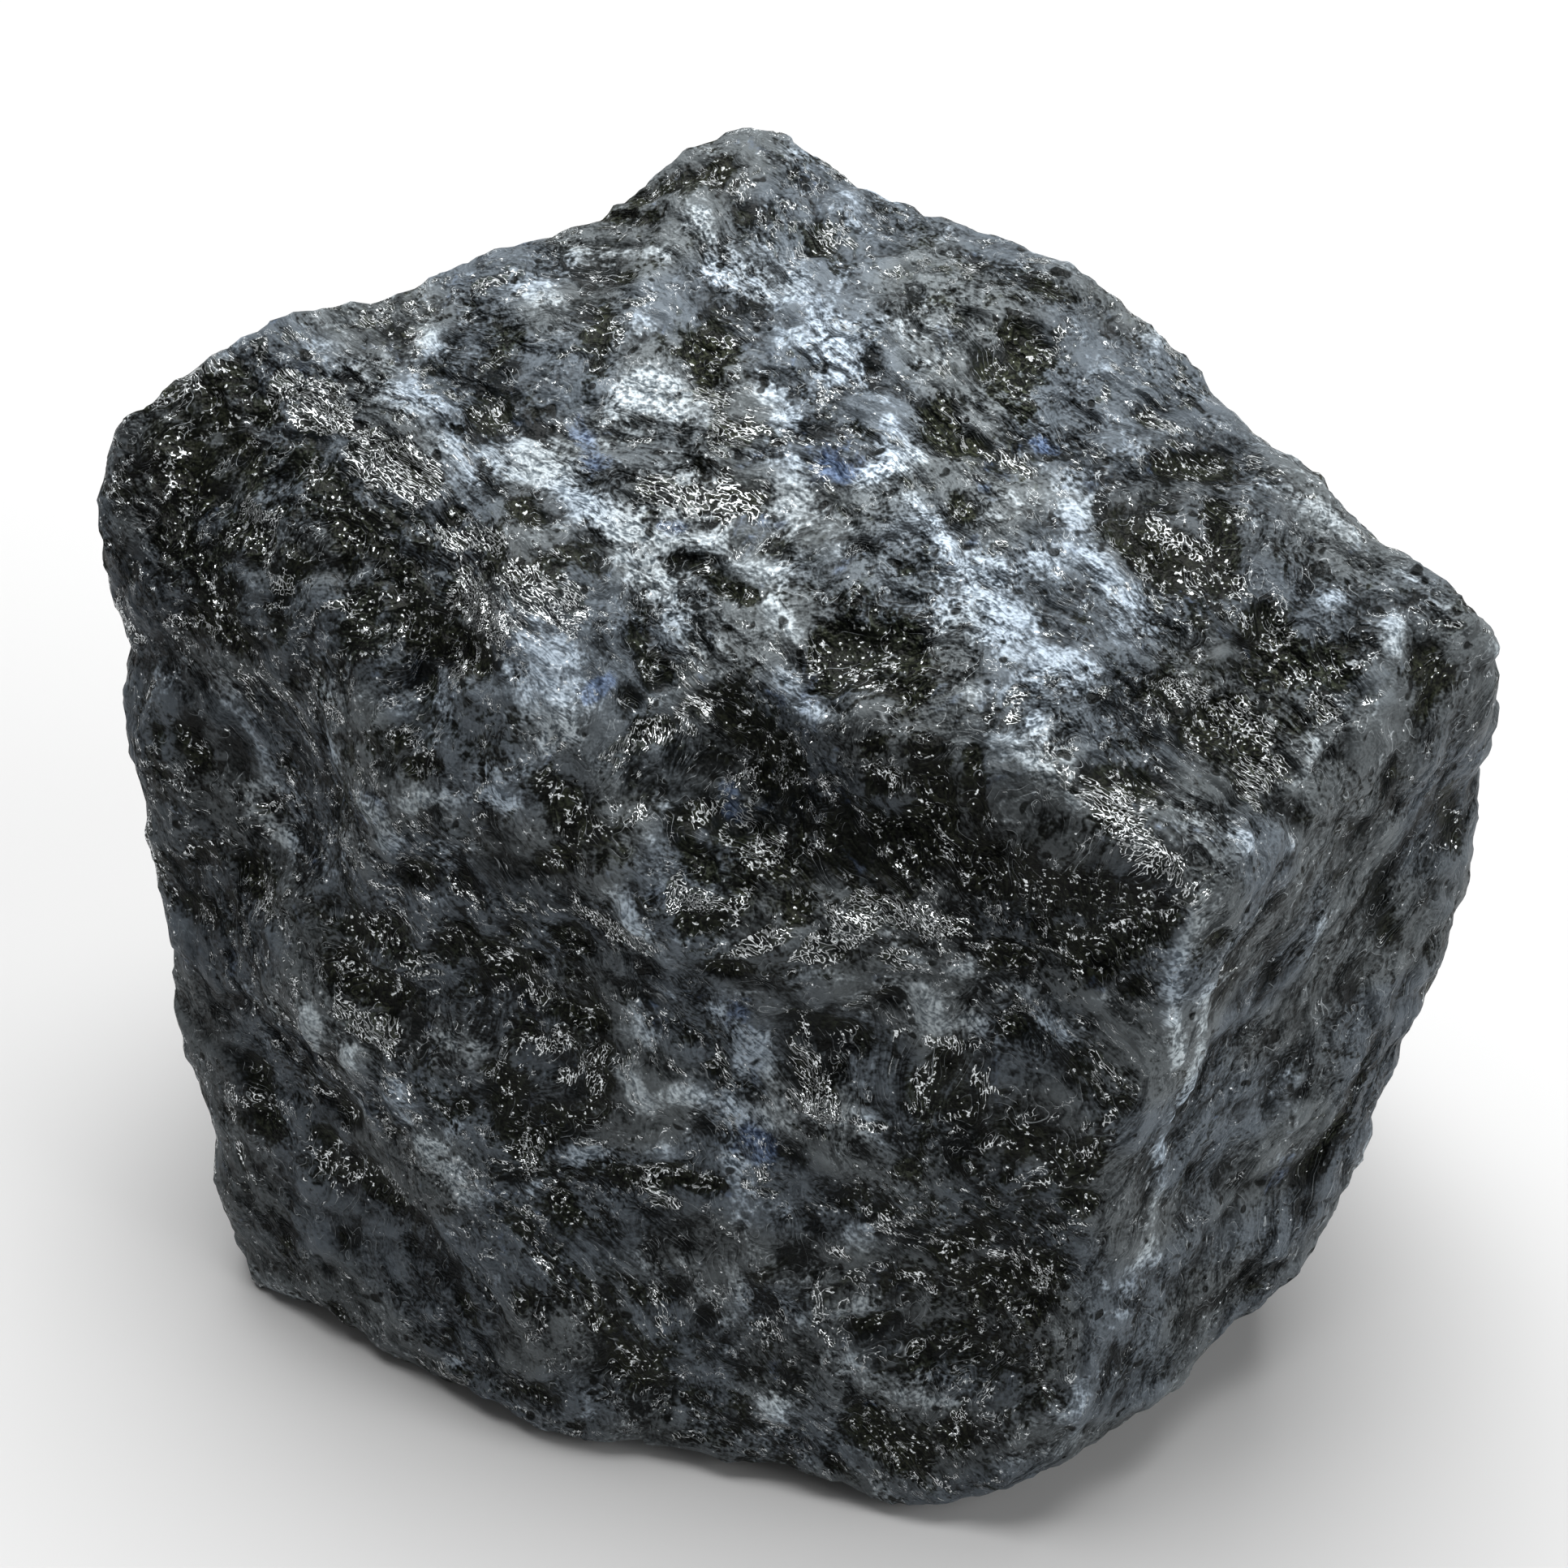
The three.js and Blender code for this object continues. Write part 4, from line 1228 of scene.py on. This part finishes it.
    def tint(self, board: NodeBoard, place: Socket, colour: Socket) -> Socket:
        """Makes the rock a little warmer or cooler from place to place, and lighter or darker in patches
        that are partly its own tone and partly painted light and shade.

        Args:
            board: The material's board.
            place: The position, in millimetres.
            colour: The colour of the rock.

        Returns:
            The colour.
        """
        hue = board.blend(self.hue.lay(board, place), self.warm, self.cool)
        # Lighter and darker patches, partly the rock's own tone and partly painted light and shade.
        tone_and_light = self.difference(board, Mineral.FRESH, Mineral.DULL)
        lift = board.math("MULTIPLY_ADD", tone_and_light, self.tone_and_light_lift, 1.0)
        return board.blend(1.0, board.blend(1.0, colour, hue, "MULTIPLY"), lift, "MULTIPLY")

    def difference(self, board: NodeBoard, more: Mineral, less: Mineral) -> Socket:
        """Returns how much stronger the masses of one kind are here than those of another."""
        return board.math("SUBTRACT", board.attribute(more.value), board.attribute(less.value))

    def lines(
        self,
        board: NodeBoard,
        flowing: Socket,
        colour: Socket,
        layers: tuple[Socket, Socket, Socket],
        masks: dict[Mineral, Socket],
        calm: Socket,
    ) -> tuple[Socket, Socket]:
        """Paints light lines and specks into the colour: painted highlights along the edges of ledges, and
        painted glints on threads and grains.

        Args:
            board: The material's board.
            flowing: The position, bent with the flow of the rock, in millimetres.
            colour: The colour of the rock.
            layers: The short strokes, the ledges and the crumbs.
            masks: The mask of each mineral.
            calm: How even and grey the rock is here.

        Returns:
            The colour, with its painted highlights and glints, and the mask of the glints.
        """
        short, ledges, crumbs = layers
        charted = board.attribute(CHARTED)
        painted_glint, dark = masks[Mineral.GLINT], masks[Mineral.DARK]
        luck = board.noise(flowing, self.luck_size, self.luck_detail)
        edges = board.math("MULTIPLY", self.edge.map(board, ledges), self.edge_luck.map(board, luck))
        # Paint highlights along the edges of ledges.
        colour = board.blend(edges, colour, self.thread)
        frayed = board.math("MULTIPLY_ADD", board.math("SUBTRACT", crumbs, MIDDLE), self.fraying, short)
        thickness = board.math("MULTIPLY_ADD", painted_glint, self.glint_thickness, self.thickness)
        eager = board.math("MULTIPLY_ADD", painted_glint, self.thread_glint, luck)
        eager = board.math("MULTIPLY_ADD", calm, self.thread_calm, eager)
        eager = board.math("MULTIPLY_ADD", charted, self.thread_charted, eager)
        threads = self.rims(board, frayed, thickness)
        threads = board.math("MULTIPLY", threads, self.thread_luck.map(board, eager))
        chance = board.math("MULTIPLY_ADD", luck, self.speck_luck, crumbs)
        chance = board.math("MULTIPLY_ADD", dark, self.speck_dark, chance)
        chance = board.math("MULTIPLY_ADD", calm, self.speck_calm, chance)
        chance = board.math("MULTIPLY_ADD", charted, self.speck_charted, chance)
        specks = self.speck_chance.map(board, chance)
        crown = board.math("MULTIPLY_ADD", board.attribute(Lay.ACROSS.value), self.crown_dimming, 1.0)
        glints = board.math("MULTIPLY", board.math("MAXIMUM", threads, specks), crown)
        # Paint the glints into the colour as near white highlights.
        return board.blend(glints, colour, self.painted_glint), glints

    def rims(self, board: NodeBoard, strokes: Socket, thickness: Socket) -> Socket:
        """Draws thin curling lines, which are the rims of tiny cleavage steps.

        Args:
            board: The material's board.
            strokes: The strokes that the lines follow, around a half.
            thickness: How thick the lines are, from 0 to 0.5.

        Returns:
            The lines, 1 in their middle.
        """
        gap = board.math("ABSOLUTE", board.math("SUBTRACT", strokes, MIDDLE))
        return board.ramp(gap, board.math("MULTIPLY", thickness, self.thread_core), thickness, 1.0, 0.0)


@dataclass(frozen=True)
class PlainFinish:
    """A plain matt surface."""

    name: str
    colour: Colour
    roughness: float

    def material(self) -> bpy.types.Material:
        """Builds the material.

        Returns:
            The material.
        """
        material = bpy.data.materials.new(self.name)
        material.use_nodes = True
        shader = material.node_tree.nodes["Principled BSDF"]
        shader.inputs["Base Color"].default_value = self.colour
        shader.inputs["Roughness"].default_value = self.roughness
        return material


# ---------------------------------------------------------------- the stone


# The ways that the sides face on which the strokes change their run.
SIDE_WAYS = {
    Lay.ACROSS: looking(272, 76),
    Lay.UPRIGHT: looking(309, 3),
    Lay.SLANTING: looking(245, 12),
}
CHART_WAY = looking(270, 46)  # the way that the charted sides face


class Pattern(Enum):
    """The noise that a layer of relief follows."""

    LUMPS = "ORIGINAL_PERLIN"
    CHIPS = "VORONOI_F2_F1"


@dataclass(frozen=True)
class Relief:
    """One layer of relief of the skin."""

    name: str
    pattern: Pattern
    spacing: float
    height: float
    octaves: int = 1


@dataclass
class LarvikiteStone:
    """The stone: a fine skin over the form of its node.

    Each bend of the flow has a wavelength and an amount, in millimetres.
    """

    node: str = "larvikite_stone"
    weld: float = 0.001 * MM  # corners of the node that lie closer than this are one
    grid: float = 0.36 * MM
    smoothing: int = 6  # rounds of smoothing, which take the facets away
    smoothing_factor: float = 0.5
    surroundings: int = 14  # how many rings of neighbours a spot is compared with
    stand_limit: float = 2.5
    bends: tuple[tuple[float, float], ...] = ((9.0, 0.7), (3.2, 0.14), (1.2, 0.04))
    waves: int = 6  # how many waves each bend is made of
    wave_spread: tuple[float, float] = (0.75, 1.3)  # how much shorter and longer they are
    seed: int = 7
    side_sharpness: int = 8  # the higher, the more suddenly one side gives way to the next
    side_least: float = 0.05  # what a side counts for where the skin faces away from it
    side_calm: float = 0.6  # how even the rock of the right side is
    chart_reach: float = 2.0  # the higher, the further round the charted sides reach
    pale_swell: float = 0.15 * MM
    dark_sink: float = 0.3 * MM
    reliefs: tuple[Relief, ...] = (
        Relief("lumps", Pattern.LUMPS, 3.2 * MM, 0.6 * MM, 2),
        Relief("chips", Pattern.CHIPS, 2.4 * MM, 0.5 * MM, 1),
        Relief("grit", Pattern.LUMPS, 0.9 * MM, 0.3 * MM, 2),
    )

    def build(self, source: bpy.types.Object) -> bpy.types.Object:
        """Grows the skin from the node's form.

        Args:
            source: The node's object.

        Returns:
            The finished skin.
        """
        skin = self.copy_of(source)
        self.refine(skin)
        self.mark(skin)
        for relief in self.reliefs:
            self.raise_relief(skin, relief)
        self.settle(skin)
        self.mark_relief(skin)
        bpy.ops.object.shade_smooth()
        skin.data.materials.clear()
        skin.data.materials.append(LarvikiteFinish().material())
        return skin

    def copy_of(self, source: bpy.types.Object) -> bpy.types.Object:
        """Copies the node and merges the copy's loose triangles into one closed mesh.

        Args:
            source: The node's object.

        Returns:
            The copy, which has none of the node's own properties.
        """
        bpy.ops.object.select_all(action="DESELECT")
        source.select_set(True)
        bpy.context.view_layer.objects.active = source
        bpy.ops.object.duplicate()
        skin = bpy.context.object
        skin.name = "larvikite_skin"
        for key in list(skin.keys()):
            del skin[key]
        bpy.ops.object.mode_set(mode="EDIT")
        bpy.ops.mesh.select_all(action="SELECT")
        bpy.ops.mesh.remove_doubles(threshold=self.weld)
        bpy.ops.object.mode_set(mode="OBJECT")
        return skin

    def refine(self, skin: bpy.types.Object) -> None:
        """Gives the skin an even fine grid and smooths the facets of its form away.

        Args:
            skin: The skin.
        """
        remesh = skin.modifiers.new("grid", "REMESH")
        remesh.mode = "VOXEL"
        remesh.voxel_size = self.grid
        bpy.ops.object.modifier_apply(modifier=remesh.name)
        smooth = skin.modifiers.new("smoothing", "SMOOTH")
        smooth.factor = self.smoothing_factor
        smooth.iterations = self.smoothing
        bpy.ops.object.modifier_apply(modifier=smooth.name)

    def raise_relief(self, skin: bpy.types.Object, relief: Relief) -> None:
        """Pushes the skin in and out along its normals.

        Args:
            skin: The skin.
            relief: The layer of relief that it takes.
        """
        texture = bpy.data.textures.new(relief.name, "CLOUDS")
        texture.noise_basis = relief.pattern.value
        texture.noise_scale = relief.spacing
        texture.noise_depth = relief.octaves
        displace = skin.modifiers.new(relief.name, "DISPLACE")
        displace.texture = texture
        displace.texture_coords = "LOCAL"
        displace.strength = relief.height
        displace.mid_level = 0.5
        bpy.ops.object.modifier_apply(modifier=displace.name)

    def settle(self, skin: bpy.types.Object) -> None:
        """Flattens what relief pushed below the floor, so that the stone rests on flat patches."""
        for vertex in skin.data.vertices:
            vertex.co.z = max(vertex.co.z, 0.0)

    def mark(self, skin: bpy.types.Object) -> None:
        """Writes where each mineral lies and how the strokes run, and swells or sinks the masses.

        Args:
            skin: The skin.
        """
        mesh = skin.data
        points = self.read(mesh, "co") / MM
        normals = self.read(mesh, "normal")
        sides = self.sides(normals)
        depths = self.depths(points)
        depths[Mineral.CALM] = np.maximum(depths[Mineral.CALM], self.side_calm * sides[Lay.UPRIGHT])
        for marked in (sides, depths):
            for choice, values in marked.items():
                self.write(mesh, choice.value, values)
        self.write(mesh, CHARTED, np.clip(normals @ np.array(CHART_WAY) * self.chart_reach, 0, 1))
        self.write_flow(mesh, self.bent(points))
        swell = self.pale_swell * depths[Mineral.PALE] - self.dark_sink * depths[Mineral.DARK]
        mesh.vertices.foreach_set("co", (points * MM + swell[:, None] * normals).ravel())
        mesh.update()

    def depths(self, points: np.ndarray) -> dict[Mineral, np.ndarray]:
        """Works out how far inside the masses of each kind points are.

        Args:
            points: Points in millimetres, one a row.

        Returns:
            The greatest strength of any mass at each point, for each kind.
        """
        depths = {}
        for mineral, laid in MASSES.items():
            depths[mineral] = np.zeros(len(points))
            for mass in laid:
                depths[mineral] = np.maximum(depths[mineral], mass.depth_at(points))
        return depths

    def sides(self, normals: np.ndarray) -> dict[Lay, np.ndarray]:
        """Shares the skin out among the sides, by the way that it faces.

        Args:
            normals: The way that the skin faces at each point, one a row.

        Returns:
            The share of each lay of strokes at each point. The shares add up to one.
        """
        weights = {}
        for lay, way in SIDE_WAYS.items():
            weights[lay] = np.clip(normals @ np.array(way), self.side_least, 1) ** self.side_sharpness
        total = sum(weights.values())
        return {lay: weight / total for lay, weight in weights.items()}

    def bent(self, points: np.ndarray) -> np.ndarray:
        """Bends points with the flow of the rock, as if the rock had been kneaded.

        Args:
            points: Points in millimetres, one a row.

        Returns:
            The bent points, in millimetres.
        """
        dice = np.random.default_rng(self.seed)
        bent = points.copy()
        for wavelength, amount in self.bends:
            for _ in range(self.waves):
                way = dice.normal(size=3)
                way *= 2 * math.pi / (wavelength * dice.uniform(*self.wave_spread) * np.linalg.norm(way))
                shift = dice.normal(size=3) * amount * math.sqrt(2 / self.waves)
                bent += np.sin(points @ way + dice.uniform(0, 2 * math.pi))[:, None] * shift
        return bent

    def write_flow(self, mesh: bpy.types.Mesh, bent: np.ndarray) -> None:
        """Writes the bent position of each vertex as an attribute."""
        attribute = mesh.attributes.new(FLOW, "FLOAT_VECTOR", "POINT")
        attribute.data.foreach_set("vector", bent.astype(np.float32).ravel())

    def read(self, mesh: bpy.types.Mesh, name: str) -> np.ndarray:
        """Reads one property of each vertex.

        Args:
            mesh: The skin's mesh.
            name: The property.

        Returns:
            The vectors, one a row.
        """
        flat = np.empty(len(mesh.vertices) * 3)
        mesh.vertices.foreach_get(name, flat)
        return flat.reshape(-1, 3)

    def mark_relief(self, skin: bpy.types.Object) -> None:
        """Writes how far each spot stands out of its surroundings, or lies in a pit.

        Args:
            skin: The skin.
        """
        mesh = skin.data
        count = len(mesh.vertices)
        points = self.read(mesh, "co") / MM
        ends = np.empty(len(mesh.edges) * 2, dtype=np.int32)
        mesh.edges.foreach_get("vertices", ends)
        first, second = ends.reshape(-1, 2).T
        degree = np.bincount(ends, minlength=count)[:, None]
        even = points.copy()
        for _ in range(self.surroundings):
            total = np.zeros_like(even)
            for axis in range(3):
                total[:, axis] += np.bincount(first, even[second, axis], count)
                total[:, axis] += np.bincount(second, even[first, axis], count)
            even = total / degree
        stand = ((points - even) * self.read(mesh, "normal")).sum(axis=1)
        self.write(mesh, STAND, np.clip(stand / stand.std(), -self.stand_limit, self.stand_limit))

    def write(self, mesh: bpy.types.Mesh, name: str, values: np.ndarray) -> None:
        """Writes one number for each vertex as an attribute."""
        attribute = mesh.attributes.new(name, "FLOAT", "POINT")
        attribute.data.foreach_set("value", values.astype(np.float32))


# ---------------------------------------------------------------- the studio


@dataclass(frozen=True)
class Lamp:
    """A square area light that faces the stone."""

    name: str
    compass: float  # where it stands, as seen from the stone
    rise: float
    distance: float
    size: float
    power: float  # in watts

    def place(self, target: Vector) -> None:
        """Adds the light.

        Args:
            target: The point that it faces.
        """
        light = bpy.data.lights.new(self.name, "AREA")
        light.size = self.size
        light.energy = self.power
        lamp = bpy.data.objects.new(self.name, light)
        way = looking(self.compass, self.rise)
        lamp.location = target + way * self.distance
        lamp.rotation_euler = way.to_track_quat("Z", "Y").to_euler()
        bpy.context.scene.collection.objects.link(lamp)


@dataclass
class Studio:
    """A pale floor, soft lights and the camera."""

    target: Vector = Vector((-0.3 * MM, -1.0 * MM, 21.5 * MM))
    elevation: float = 46.0
    distance: float = 152 * MM
    lens: float = 85.0
    nearest: float = 0.01
    floor_size: float = 3.0
    floor_finish: PlainFinish = PlainFinish("floor_white", from_screen(196, 196, 196), 0.9)
    room_light: float = 0.12
    lamps: tuple[Lamp, ...] = (
        Lamp("overhead softbox", 90, 70, 0.45, 0.4, 4.2),
        Lamp("right fill", 345, 25, 0.6, 0.4, 1.9),
    )

    def build(self) -> None:
        """Builds the floor, the lights and the camera."""
        self.floor()
        for lamp in self.lamps:
            lamp.place(self.target)
        self.sky()
        self.camera()

    def floor(self) -> None:
        """Adds the floor."""
        bpy.ops.object.select_all(action="DESELECT")
        bpy.ops.mesh.primitive_plane_add(size=self.floor_size)
        floor = bpy.context.object
        floor.name = "floor"
        floor.data.materials.append(self.floor_finish.material())

    def sky(self) -> None:
        """Adds the even light of the room."""
        world = bpy.data.worlds.new("room")
        bpy.context.scene.world = world
        world.use_nodes = True
        background = world.node_tree.nodes["Background"]
        background.inputs["Color"].default_value = from_screen(255, 255, 255)
        background.inputs["Strength"].default_value = self.room_light

    def camera(self) -> None:
        """Adds the camera, looking at the stone from the front and above."""
        lens = bpy.data.cameras.new("camera")
        lens.lens = self.lens
        lens.clip_start = self.nearest
        camera = bpy.data.objects.new("camera", lens)
        way = looking(270, self.elevation)
        camera.location = self.target + way * self.distance
        camera.rotation_euler = way.to_track_quat("Z", "Y").to_euler()
        bpy.context.scene.collection.objects.link(camera)
        bpy.context.scene.camera = camera
        bpy.context.scene.view_settings.view_transform = "Standard"


# ---------------------------------------------------------------- assembly


def main() -> None:
    """Builds the stone and the studio in order, and reports each piece."""
    logging.basicConfig(level=logging.INFO, format="%(name)s: %(message)s")
    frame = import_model()
    stone = LarvikiteStone()
    skin = stone.build(frame["nodes"][stone.node])
    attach(skin, "root")
    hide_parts(stone.node)
    LOG.info("%s: %d faces", skin.name, len(skin.data.polygons))
    Studio().build()
    LOG.info("studio: floor, lights and camera")


if __name__ == "__main__":
    main()
